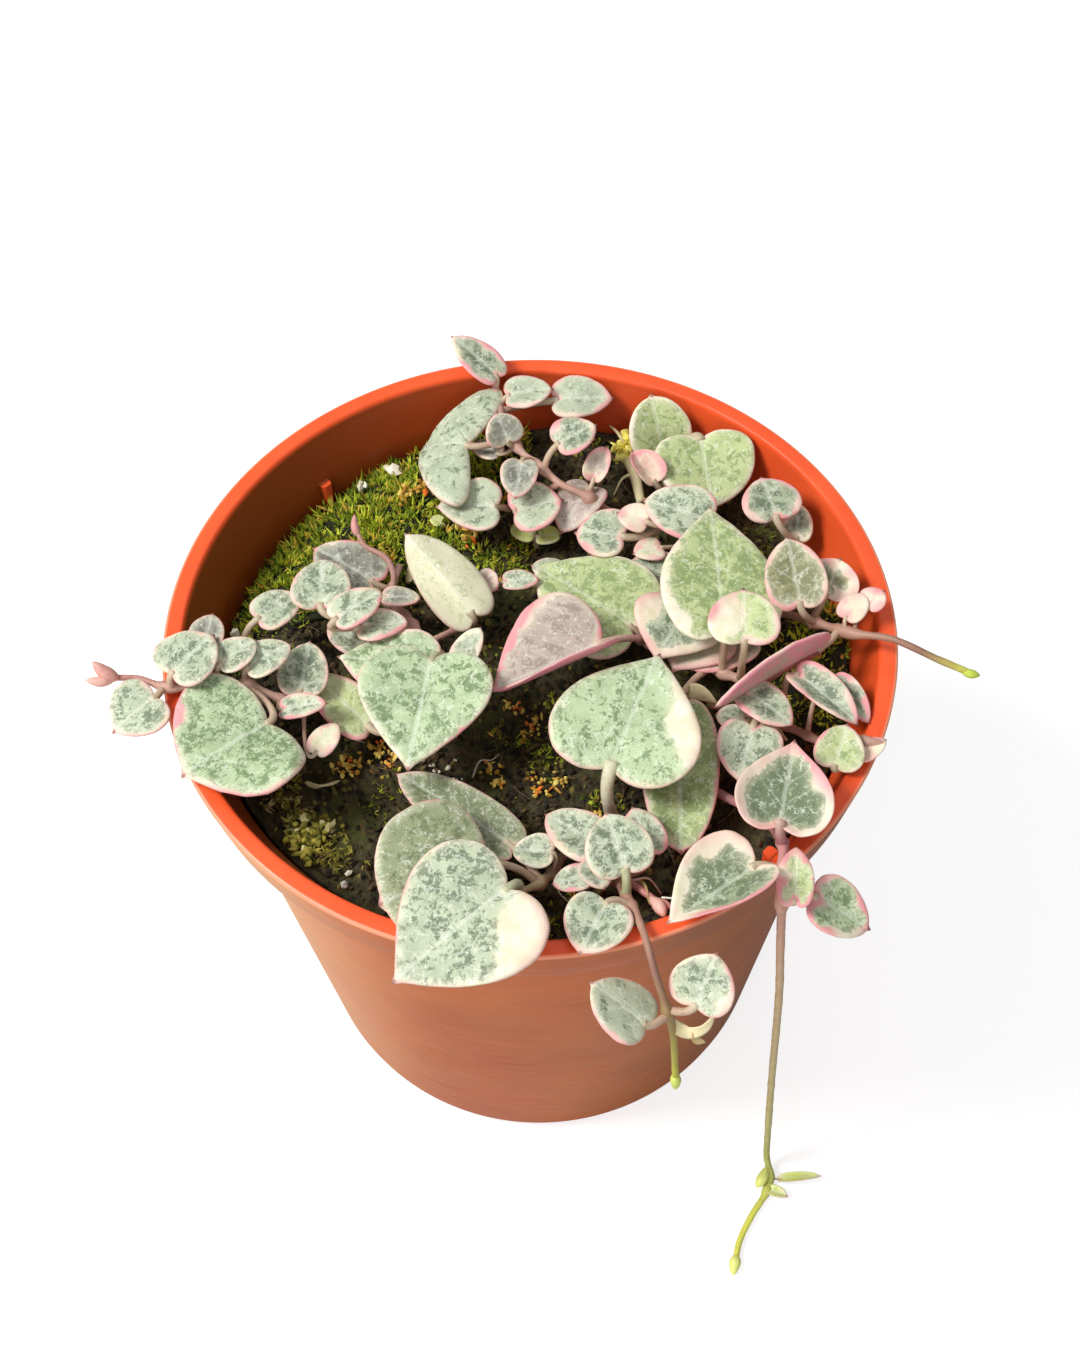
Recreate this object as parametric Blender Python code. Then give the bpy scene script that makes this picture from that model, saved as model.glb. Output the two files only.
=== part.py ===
"""Potted string of hearts: a round plastic nursery pot, its soil, two mats of moss, the creeping
stems and the heart-shaped leaves that sit on them.

Metres, +Z up. The origin is the centre of the pot's underside. The plant is laid out in
millimetres on a pot of LAYOUT_* size: x and y from the pot's axis, h above the rim. place() then
fits that layout to the pot, so the plant follows a wider, taller or fuller pot.
"""
import math

import bmesh
import bpy
import numpy as np

# Pot
POT_HEIGHT = 0.092
RIM_RADIUS = 0.050
BASE_RADIUS = 0.038
BASE_FILLET = 0.004
WALL = 0.0013
FLOOR = 0.002
LIP_HEIGHT = 0.0078
LIP_OVERHANG = 0.004
LIP_TOP = 0.0025
LIP_SKIRT = 0.0012
RIM_EDGE = 0.0004
POT_STEPS = 60
DRAIN_HOLES = 4
DRAIN_HOLE_RADIUS = 0.004
DRAIN_CIRCLE = 0.024
LUG_ANGLES = (133, 313)
LUG_WIDTH = 0.0022
LUG_HEIGHT = 0.005
LUG_BELOW_RIM = 0.0025
LUG_DEPTH = 0.001

# Filling
SOIL_BELOW_RIM = 0.0093
MOSS_THICKNESS = 0.0022
GAP = 0.0003

# Plant
LEAF_THICKNESS = 0.0013
STEM_RADIUS = 0.0007
PETIOLE_RADIUS = 0.00045
LAYOUT_RIM_RADIUS = 50.0
LAYOUT_SOIL = -9.3
LAYOUT_FLOOR = -92.0
LAYOUT_BROAD_LEAF = 20.0
MOSS_LIFT = 0.6

MM = 0.001

# Half a leaf, from the notch to the tip: along the midrib in leaf lengths, out in half widths.
POINTED_HALF = ((0, 0), (-0.07, 0.16), (-0.10, 0.46), (-0.02, 0.80), (0.18, 1.0), (0.42, 0.95),
                (0.64, 0.70), (0.84, 0.34), (1, 0))
ROUNDED_HALF = ((0, 0), (-0.06, 0.16), (-0.08, 0.46), (0.0, 0.80), (0.20, 1.0), (0.48, 1.0),
                (0.74, 0.82), (0.93, 0.46), (1, 0))
LEAF_CENTRE = 0.38
LEAF_RING = 0.6
STALK_LIMIT = 0.06
PETIOLE_STEPS = 3

COLOURS = {
    "pot": ((0.80, 0.16, 0.05), 0.42),
    "soil": ((0.035, 0.025, 0.015), 0.95),
    "moss": ((0.16, 0.22, 0.03), 0.95),
    "stem": ((0.25, 0.12, 0.09), 0.6),
    "leaf": ((0.38, 0.46, 0.34), 0.5),
}


def material(name):
    colour, roughness = COLOURS[name]
    made = bpy.data.materials.get(name) or bpy.data.materials.new(name)
    made.use_nodes = True
    shader = made.node_tree.nodes["Principled BSDF"]
    shader.inputs["Base Color"].default_value = (*colour, 1)
    shader.inputs["Roughness"].default_value = roughness
    shader.inputs["Metallic"].default_value = 0
    made.diffuse_color = (*colour, 1)
    return made


def add_object(name, vertices, faces, finish, smooth_angle=40):
    """A closed mesh in metres, with its faces turned out and its round parts shaded smooth."""
    mesh = bpy.data.meshes.new(name)
    mesh.from_pydata([tuple(v) for v in vertices], [], faces)
    work = bmesh.new()
    work.from_mesh(mesh)
    bmesh.ops.recalc_face_normals(work, faces=work.faces)
    if work.calc_volume(signed=True) < 0:
        bmesh.ops.reverse_faces(work, faces=work.faces)
    work.to_mesh(mesh)
    work.free()
    mesh.shade_smooth()
    mesh.set_sharp_from_angle(angle=math.radians(smooth_angle))
    mesh.materials.append(material(finish))
    made = bpy.data.objects.new(name, mesh)
    bpy.context.collection.objects.link(made)
    return made


def boolean(target, other, operation):
    """Joins or cuts other, which then stays in the file as a hidden helper."""
    step = target.modifiers.new(operation.lower(), "BOOLEAN")
    step.operation = operation
    step.solver = "EXACT"
    step.object = other
    other.hide_render = True
    other.display_type = "WIRE"


def place(points):
    """Layout millimetres to metres: spread with the rim, heights tied to floor, soil and rim."""
    points = np.atleast_2d(np.asarray(points, float))
    spread = RIM_RADIUS / LAYOUT_RIM_RADIUS
    height = np.interp(points[:, 2], (LAYOUT_FLOOR, LAYOUT_SOIL, 0),
                       (0, POT_HEIGHT - SOIL_BELOW_RIM, POT_HEIGHT))
    height += spread * np.maximum(points[:, 2], 0)
    return np.column_stack([points[:, 0] * spread, points[:, 1] * spread, height])


def curve_through(points, steps):
    """Catmull-Rom points: every given point, with steps along each span."""
    points = np.asarray(points, float)
    padded = np.vstack([2 * points[0] - points[1], points, 2 * points[-1] - points[-2]])
    found = []
    for a, b, c, d in zip(padded, padded[1:], padded[2:], padded[3:]):
        for t in np.arange(steps) / steps:
            found.append(0.5 * (2 * b + (c - a) * t + (2 * a - 5 * b + 4 * c - d) * t * t
                                + (3 * b - a - 3 * c + d) * t ** 3))
    return np.array(found + [points[-1]])


# ---------------------------------------------------------------- pot

def inner_radius(height):
    """The pot's inside radius at a height: a tapering wall that flares out behind the lip."""
    lip_bottom = POT_HEIGHT - LIP_HEIGHT
    neck = RIM_RADIUS - LIP_OVERHANG - WALL
    return float(np.interp(height, (0, lip_bottom, POT_HEIGHT),
                           (BASE_RADIUS - WALL, neck, RIM_RADIUS - LIP_TOP)))


def pot_profile():
    lip_bottom = POT_HEIGHT - LIP_HEIGHT
    neck = RIM_RADIUS - LIP_OVERHANG
    groove_top = POT_HEIGHT - LIP_HEIGHT * 0.45
    groove_neck = inner_radius(groove_top) + WALL
    skirt = RIM_RADIUS - LIP_SKIRT
    fillet = [(BASE_RADIUS - BASE_FILLET * (1 - math.sin(a)), BASE_FILLET * (1 - math.cos(a)))
              for a in np.radians((0, 30, 60, 90))]
    outside = [(0, 0), *fillet, (neck, lip_bottom), (groove_neck, groove_top), (skirt, groove_top),
               (skirt, lip_bottom), (RIM_RADIUS, lip_bottom), (RIM_RADIUS, POT_HEIGHT - RIM_EDGE),
               (RIM_RADIUS - RIM_EDGE, POT_HEIGHT)]
    inside = [(RIM_RADIUS - LIP_TOP, POT_HEIGHT), (inner_radius(lip_bottom), lip_bottom),
              (inner_radius(FLOOR + BASE_FILLET), FLOOR + BASE_FILLET),
              (inner_radius(FLOOR) - BASE_FILLET, FLOOR), (0, FLOOR)]
    return outside + inside


def make_pot():
    work = bmesh.new()
    points = [work.verts.new((r, 0, z)) for r, z in pot_profile()]
    for a, b in zip(points, points[1:]):
        work.edges.new((a, b))
    bmesh.ops.spin(work, geom=work.verts[:] + work.edges[:], cent=(0, 0, 0), axis=(0, 0, 1),
                   angle=math.tau, steps=POT_STEPS, use_duplicate=False)
    bmesh.ops.remove_doubles(work, verts=work.verts, dist=1e-6)
    vertices = [v.co.copy() for v in work.verts]
    faces = [[v.index for v in f.verts] for f in work.faces]
    work.free()
    pot = add_object("pot", vertices, faces, "pot", smooth_angle=35)
    for number in range(DRAIN_HOLES):
        angle = math.tau * (number + 0.5) / DRAIN_HOLES
        centre = (DRAIN_CIRCLE * math.cos(angle), DRAIN_CIRCLE * math.sin(angle), FLOOR / 2)
        boolean(pot, make_hole_cutter(f"drain_cutter_{number + 1}", centre), "DIFFERENCE")
    for number, degrees in enumerate(LUG_ANGLES):
        boolean(pot, make_lug(f"lug_{number + 1}", math.radians(degrees)), "UNION")
    return pot


def make_hole_cutter(name, centre, sides=20):
    ring = [(centre[0] + DRAIN_HOLE_RADIUS * math.cos(a), centre[1] + DRAIN_HOLE_RADIUS * math.sin(a))
            for a in np.arange(sides) * math.tau / sides]
    vertices = [(x, y, centre[2] - FLOOR) for x, y in ring] + [(x, y, centre[2] + FLOOR) for x, y in ring]
    sides_of = [(i, (i + 1) % sides, sides + (i + 1) % sides, sides + i) for i in range(sides)]
    caps = [tuple(range(sides)), tuple(range(2 * sides - 1, sides - 1, -1))]
    return add_object(name, vertices, sides_of + caps, "pot")


def make_lug(name, angle):
    """A small stacking lug on the inside of the wall, sunk halfway into it."""
    top = POT_HEIGHT - LUG_BELOW_RIM
    out = np.array((math.cos(angle), math.sin(angle), 0))
    across = np.array((-math.sin(angle), math.cos(angle), 0)) * LUG_WIDTH / 2
    vertices = []
    for height in (top - LUG_HEIGHT, top):
        face = inner_radius(height)
        for radius in (face - LUG_DEPTH, face + WALL / 2):
            for side in (-1, 1):
                vertices.append(out * radius + across * side + np.array((0, 0, height)))
    faces = [(0, 1, 3, 2), (4, 6, 7, 5), (0, 4, 5, 1), (2, 3, 7, 6), (0, 2, 6, 4), (1, 5, 7, 3)]
    return add_object(name, vertices, faces, "pot")


# ---------------------------------------------------------------- soil and moss

def soil_height(x, y):
    """Layout height of the soil: a pressed surface with low waves."""
    return LAYOUT_SOIL + 0.4 * math.sin(x / 7.5 + 1.0) * math.cos(y / 9.0)


def make_soil(rings=6, sides=42):
    """Fills the pot from its floor to the uneven surface, a gap clear of the wall all round."""
    low = FLOOR + GAP
    edge_radius = inner_radius(POT_HEIGHT - SOIL_BELOW_RIM) - GAP
    angles = np.arange(sides) * math.tau / sides
    spread = RIM_RADIUS / LAYOUT_RIM_RADIUS
    vertices = [place((0, 0, soil_height(0, 0)))[0]]
    for ring in range(1, rings + 1):
        radius = edge_radius * ring / rings
        for a in angles:
            x, y = radius * math.cos(a), radius * math.sin(a)
            height = place((0, 0, soil_height(x / spread / MM, y / spread / MM)))[0][2]
            if ring == rings:
                radius = min(radius, inner_radius(height) - GAP)
                x, y = radius * math.cos(a), radius * math.sin(a)
            vertices.append((x, y, height))
    corner = low + BASE_FILLET
    for radius, height in ((inner_radius(corner) - GAP, corner),
                           (inner_radius(low) - BASE_FILLET - GAP, low)):
        vertices += [(radius * math.cos(a), radius * math.sin(a), height) for a in angles]
    vertices.append((0, 0, low))
    faces = [(0, 1 + i, 1 + (i + 1) % sides) for i in range(sides)]
    for ring in range(rings + 1):
        start, after = 1 + ring * sides, 1 + (ring + 1) * sides
        for i in range(sides):
            j = (i + 1) % sides
            faces.append((start + i, after + i, after + j, start + j))
    last = 1 + (rings + 1) * sides
    faces += [(last + i, len(vertices) - 1, last + (i + 1) % sides) for i in range(sides)]
    return add_object("soil", vertices, faces, "soil", smooth_angle=50)


def make_moss(name, angles, radii, along=16, across=5):
    """A low cushion on the soil that follows the pot's wall between two angles (degrees)."""
    vertices = []
    thickness = MOSS_THICKNESS / MM
    for layer in (0, 1):
        for i in range(along + 1):
            u = i / along
            angle = math.radians(angles[0] + (angles[1] - angles[0]) * u)
            wander = 1.5 * math.sin(3 * angle + 1) * math.sin(math.pi * u)
            for j in range(across + 1):
                v = j / across
                inner = radii[1] + (radii[0] + wander - radii[1]) * math.sin(math.pi * u) ** 0.5
                radius = inner + (radii[1] + 1.2 - inner) * v
                x, y = radius * math.cos(angle), radius * math.sin(angle)
                rise = math.sin(math.pi * u) * math.sin(math.pi * v)
                top = 0.35 + thickness * max(rise, 0) ** 0.5 * layer
                base = soil_height(x, y) + GAP / MM + MOSS_LIFT
                vertices.append((x, y, base + top * layer))
    wide = across + 1
    block = wide * (along + 1)
    faces = []
    for i in range(along):
        for j in range(across):
            a = i * wide + j
            quad = (a, a + 1, a + wide + 1, a + wide)
            faces += [quad, tuple(block + k for k in reversed(quad))]
    rim = [j for j in range(wide)] + [i * wide + across for i in range(1, along + 1)]
    rim += [along * wide + j for j in range(across - 1, -1, -1)]
    rim += [i * wide for i in range(along - 1, 0, -1)]
    for a, b in zip(rim, rim[1:] + rim[:1]):
        faces.append((a, b, block + b, block + a))
    return add_object(name, place(vertices), faces, "moss", smooth_angle=60)


# ---------------------------------------------------------------- stems and leaves

def tube(points, radius, sides=5):
    """Vertices and faces of a closed tube round points, in layout millimetres."""
    points = np.asarray(points, float)
    ahead = np.gradient(points, axis=0)
    ahead /= np.linalg.norm(ahead, axis=1)[:, None]
    side = np.cross(ahead[0], (0.3, 0.2, 1.0))
    vertices = []
    for point, forward in zip(points, ahead):
        side = side - forward * (side @ forward)
        side /= np.linalg.norm(side)
        up = np.cross(forward, side)
        for a in np.arange(sides) * math.tau / sides:
            vertices.append(point + radius * (math.cos(a) * side + math.sin(a) * up))
    faces = [tuple(range(sides)), tuple(range(len(vertices) - 1, len(vertices) - 1 - sides, -1))]
    for ring in range(len(points) - 1):
        for i in range(sides):
            j = (i + 1) % sides
            low, high = ring * sides, (ring + 1) * sides
            faces.append((low + i, low + j, high + j, high + i))
    return np.array(vertices), faces


def leaf_axes(base, tip, roll):
    """Unit vectors along the midrib, to the left of it and out of the upper face."""
    length = np.linalg.norm(tip - base)
    along = (tip - base) / length
    up = np.array((0, 0, 1.0)) - along[2] * along
    up /= np.linalg.norm(up)
    left = np.cross(up, along)
    turn = math.radians(roll)
    return (along, left * math.cos(turn) + up * math.sin(turn),
            up * math.cos(turn) - left * math.sin(turn), length)


def leaf_point(shape, u, v):
    """Where (u along, v out in half widths) of a leaf lies, bent along and folded across."""
    base, tip, width, roll, folds, bend = shape
    along, left, up, length = leaf_axes(base, tip, roll)
    half = math.radians(bend) / 2
    turn = 2 * half * (u - 0.5)
    bow = length / (2 * math.sin(half)) if half else 0
    forward = length / 2 + bow * math.sin(turn) if half else length * u
    rise = bow * (math.cos(turn) - math.cos(half))
    out = v * width / 2
    fold = math.radians(folds[0] if out >= 0 else folds[1])
    soft = 0.06 * width
    lift = (math.hypot(out, soft) - soft) * math.sin(fold)
    normal = up * math.cos(turn) + along * math.sin(turn)
    return base + along * forward + up * rise + left * out * math.cos(fold) + normal * lift


def leaf_outline(rounded):
    """The whole outline, from the left of the notch round the tip to the right of the notch."""
    half = np.array(POINTED_HALF) * (1 - rounded) + np.array(ROUNDED_HALF) * rounded
    return np.vstack([half, half[-2:0:-1] * (1, -1)])


def leaf_mesh(shape, rounded, stalk_end, hook):
    """Vertices and faces of one leaf: a thin double-domed blade that runs on into its stalk."""
    base, tip, width, roll = shape[:4]
    up = leaf_axes(base, tip, roll)[2]
    outline = leaf_outline(rounded)
    count = len(outline)
    stalk = min(PETIOLE_RADIUS / MM, STALK_LIMIT * width)
    thick = LEAF_THICKNESS / MM / 2 * math.sqrt(width / LAYOUT_BROAD_LEAF)
    centre = np.array((LEAF_CENTRE, 0))
    notch_half = 2 * stalk / width
    edge = [leaf_point(shape, 0.0, notch_half)]
    edge += [leaf_point(shape, *p) for p in outline[1:]]
    edge += [leaf_point(shape, 0.0, -notch_half)]
    inner = [leaf_point(shape, *(centre + (p - centre) * LEAF_RING)) for p in outline]
    middle = leaf_point(shape, *centre)
    vertices = edge + [p + up * thick for p in inner] + [p - up * thick for p in inner]
    vertices += [middle + up * thick, middle - up * thick]
    top, under = len(edge), len(edge) + count
    top_middle, under_middle = under + count, under + count + 1
    faces = []
    for i in range(count):
        j = (i + 1) % count
        faces += [(top_middle, top + i, top + j), (under_middle, under + j, under + i)]
        faces += [(top + i, i, i + 1, top + j), (under + j, i + 1, i, under + i)]
    back = leaf_point(shape, -0.05, 0) - leaf_point(shape, 0.05, 0)
    back /= np.linalg.norm(back)
    start = leaf_point(shape, 0.0, 0.0)
    reach = np.linalg.norm(stalk_end - start)
    knee = start + back * hook * reach
    ring = (0, top, count, under)
    above = up
    for step in range(1, PETIOLE_STEPS + 1):
        t = step / PETIOLE_STEPS
        spot = (1 - t) ** 2 * start + 2 * t * (1 - t) * knee + t * t * stalk_end
        forward = (1 - t) * (knee - start) + t * (stalk_end - knee)
        forward /= np.linalg.norm(forward)
        above = above - forward * (above @ forward)
        above /= np.linalg.norm(above)
        side = np.cross(forward, above)
        first = len(vertices)
        vertices += [spot + side * stalk, spot + above * stalk, spot - side * stalk, spot - above * stalk]
        after = (first, first + 1, first + 2, first + 3)
        for a, b in ((0, 1), (1, 2), (2, 3), (3, 0)):
            faces.append((ring[a], ring[b], after[b], after[a]))
        ring = after
    faces.append(ring)
    return np.array(vertices), faces


class Stem:
    """One creeping stem: its main run, its branches, and what grows from it."""

    def __init__(self, name, *routes):
        self.name = name
        self.runs = [curve_through(route, 3) for route in routes]
        spread = [place(run) for run in self.runs]
        radius = STEM_RADIUS / MM * LAYOUT_RIM_RADIUS * MM / RIM_RADIUS
        self.body = add_object(name, *self.placed(*tube(self.runs[0], radius)), "stem")
        for number, run in enumerate(self.runs[1:], 1):
            branch = add_object(f"{name}_branch_{number}", *self.placed(*tube(run, radius * 0.9)), "stem")
            boolean(self.body, branch, "UNION")
        self.line = np.vstack(self.runs)
        self.spread = spread

    @staticmethod
    def placed(vertices, faces):
        return place(vertices), faces

    def nearest(self, point):
        return self.line[np.argmin(np.linalg.norm(self.line - point, axis=1))]

    def leaf(self, name, base, tip, width, folds=(8, 8), bend=10, roll=0, rounded=0.0, hook=0.45,
             near=None, joined=False):
        """A leaf from its notch (base) to its tip, on a stalk that starts out backwards (hook) and
        ends at the stem, by the point near. A joined one grows into the stem's solid."""
        base, tip = np.array(base, float), np.array(tip, float)
        shape = (base, tip, width, roll, folds, bend)
        joint = self.nearest(base if near is None else near)
        if not joined:
            away = base - joint
            clear = (STEM_RADIUS + PETIOLE_RADIUS + GAP) / MM
            joint = joint + away / np.linalg.norm(away) * clear
        made = add_object(name, *self.placed(*leaf_mesh(shape, rounded, joint, hook)), "leaf", smooth_angle=60)
        if joined:
            boolean(self.body, made, "UNION")
        return made


def make_back_left():
    stem = Stem("stem_back_left",
                [(15.5, 23.5, -7.6), (12, 23.5, -5), (8.5, 24.5, -2.5), (5, 26, -1.5), (2, 29.5, -1.5),
                 (-1, 33, -1.5), (-3, 37.5, -1), (-4, 41, -0.5), (-4.2, 43.5, 0.5)],
                [(5, 26, -1.5), (1, 26, -4.5), (-2.5, 24.5, -5)])
    stem.leaf("leaf_back_left_1", (-4, 44.5, 2), (-10.5, 50, 5), 6)
    stem.leaf("leaf_back_left_2", (-2.2, 42, 0.2), (4.4, 42.7, 0.6), 6.5, near=(-3.8, 40, -0.6))
    stem.leaf("leaf_back_left_3", (5, 42, -1), (13.5, 42, -1), 8.5)
    stem.leaf("leaf_back_left_4", (-2.5, 33, 0), (-4, 36, 3), 6, rounded=0.5)
    stem.leaf("leaf_back_left_5", (5, 30.5, 2), (10.5, 33, 3), 6.8, rounded=0.5)
    stem.leaf("leaf_back_left_6", (-8.5, 32.5, 0), (-15.5, 34.5, -4), 23, folds=(0, 0), bend=50, rounded=0.5)
    stem.leaf("leaf_back_left_7", (-4.5, 22.2, -2), (-13, 23, -2.5), 10, hook=0.1, near=(-4, 24.5, -5))
    stem.leaf("leaf_back_left_8", (-1.6, 22, -3), (5.2, 23.6, -2.5), 9.5, hook=0.1, near=(-0.5, 25.3, -5))
    stem.leaf("leaf_back_left_9", (-0.5, 28, 1), (-1.5, 22, 0), 5.6, rounded=0.5, joined=True)
    stem.leaf("leaf_back_left_10", (-4, 32.5, -2), (-8, 35.5, -3), 4, joined=True)
    stem.leaf("leaf_back_left_11", (10, 27, -2), (12, 31.5, 0), 5, folds=(40, 40), joined=True)


def make_back_right():
    stem = Stem("stem_back_right",
                [(26.5, 9, -7.6), (24.5, 15, -6), (23, 20.5, -5.5), (21, 27.5, -5.5), (21, 32, -5.5)])
    stem.leaf("leaf_back_right_1", (20.5, 34, -4), (19, 39.5, 2), 9.5, rounded=0.5)
    stem.leaf("leaf_back_right_2", (26, 33.2, -1), (27.2, 22.4, -4), 15, rounded=0.5)
    stem.leaf("leaf_back_right_3", (25.5, 17, 0), (17, 21, 0), 9, roll=-10)
    stem.leaf("leaf_back_right_4", (13.5, 16, -2), (7, 17.5, -2.5), 9, near=(22, 24, -5.5))
    stem.leaf("leaf_back_right_5", (18.5, 26, -2), (15.5, 30, 0), 6.5, folds=(45, 45), joined=True)
    stem.leaf("leaf_back_right_6", (17, 17.5, -0.6), (13, 19, -0.2), 4.5, joined=True)
    stem.leaf("leaf_back_right_7", (19, 14.6, -3), (15, 13.2, -2.5), 4, joined=True)
    stem.leaf("leaf_back_right_8", (20, 10, -4), (14.5, 13, -4), 7, joined=True)


def make_middle():
    stem = Stem("stem_middle",
                [(15.5, 2, -7.6), (17, 0, -6), (20, -2.5, -5), (24, -5, -4.5), (28, -7.5, -4), (31, -8, -4)])
    stem.leaf("leaf_middle_1", (9.5, -5, 1), (-5, -11.5, 0), 20, folds=(50, 5))
    stem.leaf("leaf_middle_2", (14.2, 1.2, -3.6), (0.8, 12.3, -3.4), 17.5)
    stem.leaf("leaf_middle_3", (21.5, 2, -1), (17, -5.5, -2), 13)
    stem.leaf("leaf_middle_4", (26, -4, 3), (26, 17.5, 2), 16.5, folds=(8, -3), hook=0.2,
              near=(26, -6.3, -4.3))
    stem.leaf("leaf_middle_5", (28, -9, 6.8), (28.5, -1.5, 7.8), 9.6, rounded=0.5, hook=0.1, near=(28.5, -7.6, -4))
    stem.leaf("leaf_middle_6", (19.5, -12.5, -4), (18.5, -34, -4), 10.5, rounded=1.0)
    stem.leaf("leaf_middle_7", (30, -1, -4), (22, -6, -4), 7, joined=True)


def make_right():
    stem = Stem("stem_right",
                [(30.5, 8, -7.6), (34, 5, -6), (36.5, 2, -3), (40, -2, 0), (43.5, -5, 2), (48, -7.5, 4),
                 (53.5, -11, 4), (57.5, -12.5, 3)],
                [(34, 5, -6), (36, 6.5, -5), (38, 11.5, -4), (38.5, 15, -3.5)])
    stem.leaf("leaf_right_1", (35.3, 16.5, 0.8), (33.8, 23, 1.8), 8.5)
    stem.leaf("leaf_right_2", (36.5, -0.5, 3), (35.5, 8.5, 6), 8.5)
    stem.leaf("leaf_right_3", (40.5, 2, 1), (43, 7, 2), 8, rounded=0.5)
    stem.leaf("leaf_right_4", (38.5, -7, 2), (24, -16, 2), 11, roll=60)
    stem.leaf("leaf_right_5", (38.7, 15.5, -3), (39, 21.5, -2), 4.5, joined=True)
    stem.leaf("leaf_right_6", (42.5, -3, 3), (45.5, 0.5, 3.5), 4, joined=True)
    stem.leaf("leaf_right_7", (45.5, -1, 3), (48, 0.5, 4), 4, joined=True)


def make_right_front():
    stem = Stem("stem_right_front",
                [(24.5, -9.5, -7.6), (30, -12, -6), (36, -16, -5), (40, -19.5, -4), (41, -20.2, -1.5),
                 (42.8, -21.6, 1.3), (45, -22, 1.6)])
    stem.leaf("leaf_right_front_1", (35.3, -11, 1.3), (42.2, -19, 1.3), 6.5, folds=(35, 35))
    stem.leaf("leaf_right_front_2", (38.5, -25, 1.2), (40.5, -20, 3), 6.5)
    stem.leaf("leaf_right_front_3", (29, -17.5, -1), (26.5, -25, -2), 8.6)
    stem.leaf("leaf_right_front_4", (28.5, -12.5, 0), (34, -18, 0), 6, joined=True)
    stem.leaf("leaf_right_front_5", (40, -11.5, 0), (44, -18, 0), 5, folds=(30, 30), joined=True)
    stem.leaf("leaf_right_front_6", (42, -23.5, 1), (45.5, -21.5, 1.5), 3, joined=True)
    stem.leaf("leaf_right_front_7", (28, -15, -3), (24.5, -14, -3), 4.3, joined=True)


def make_trailing():
    """The long stem: over the rim, down beside the pot, and its end along the surface."""
    stem = Stem("stem_trailing",
                [(20.5, -20.5, -7.6), (25, -25.5, -5), (28, -29.5, -2), (30.5, -35.5, 1.5), (30, -40.5, 2.5),
                 (29.8, -44, 0.5), (30.7, -44.8, -11), (32, -44.8, -26), (33.9, -44.8, -56),
                 (35.7, -44.8, -82), (36.2, -45.4, -89), (36.7, -47.7, -91), (35.8, -50.5, -91.2),
                 (33.1, -54.2, -91.2), (30.8, -58.1, -91.2), (29.7, -61.6, -91.2)])
    stem.leaf("leaf_trailing_1", (30, -35.5, 4), (33, -24, 4), 12.2)
    stem.leaf("leaf_trailing_2", (26.6, -40, 2.2), (15.8, -47.2, 2.2), 13, folds=(40, 8))
    stem.leaf("leaf_trailing_3", (34, -43, 0), (40.5, -46, -3), 7.8)
    stem.leaf("leaf_trailing_4", (31, -45, 3), (32, -37.5, 3), 4.6, joined=True)
    stem.leaf("leaf_trailing_5", (38.5, -48.5, -91), (45, -48.3, -90.5), 2.6, folds=(50, 50), joined=True)


def make_left():
    stem = Stem("stem_left",
                [(-24.5, -7.5, -7.6), (-29, -9.5, -5), (-32.5, -10, -3), (-37.5, -9, -0.5),
                 (-42.5, -9.5, 1), (-48, -10, 1.5), (-52, -8.5, 1.5), (-55.5, -8.5, 2)])
    stem.leaf("leaf_left_1", (-47, -9.5, 4), (-42, -4, 4.5), 9)
    stem.leaf("leaf_left_2", (-37, 2, 0), (-31.5, 5.5, 0), 6.5)
    stem.leaf("leaf_left_3", (-31, -9, -2), (-30, -1.5, -1), 7)
    stem.leaf("leaf_left_4", (-34.5, -16, 1), (-44.5, -24, 2), 21.5, rounded=0.5, near=(-38, -9, -0.5))
    stem.leaf("leaf_left_5", (-49.5, -12, 2), (-54.5, -16.5, 1), 9.3)
    stem.leaf("leaf_left_6", (-43.5, -4.5, 3), (-42.5, 0, 4), 5, joined=True)
    stem.leaf("leaf_left_7", (-41, -7.5, 3), (-36.5, -4, 3), 5.5, joined=True)
    stem.leaf("leaf_left_8", (-37.5, -7.5, 2), (-32, -4, 2), 5.8, joined=True)
    stem.leaf("leaf_left_9", (-33, -12.5, -0.8), (-27, -12.3, 0), 4, joined=True)
    stem.leaf("leaf_left_10", (-28.5, -18, -3), (-26, -13.5, -3), 4, joined=True)


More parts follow.
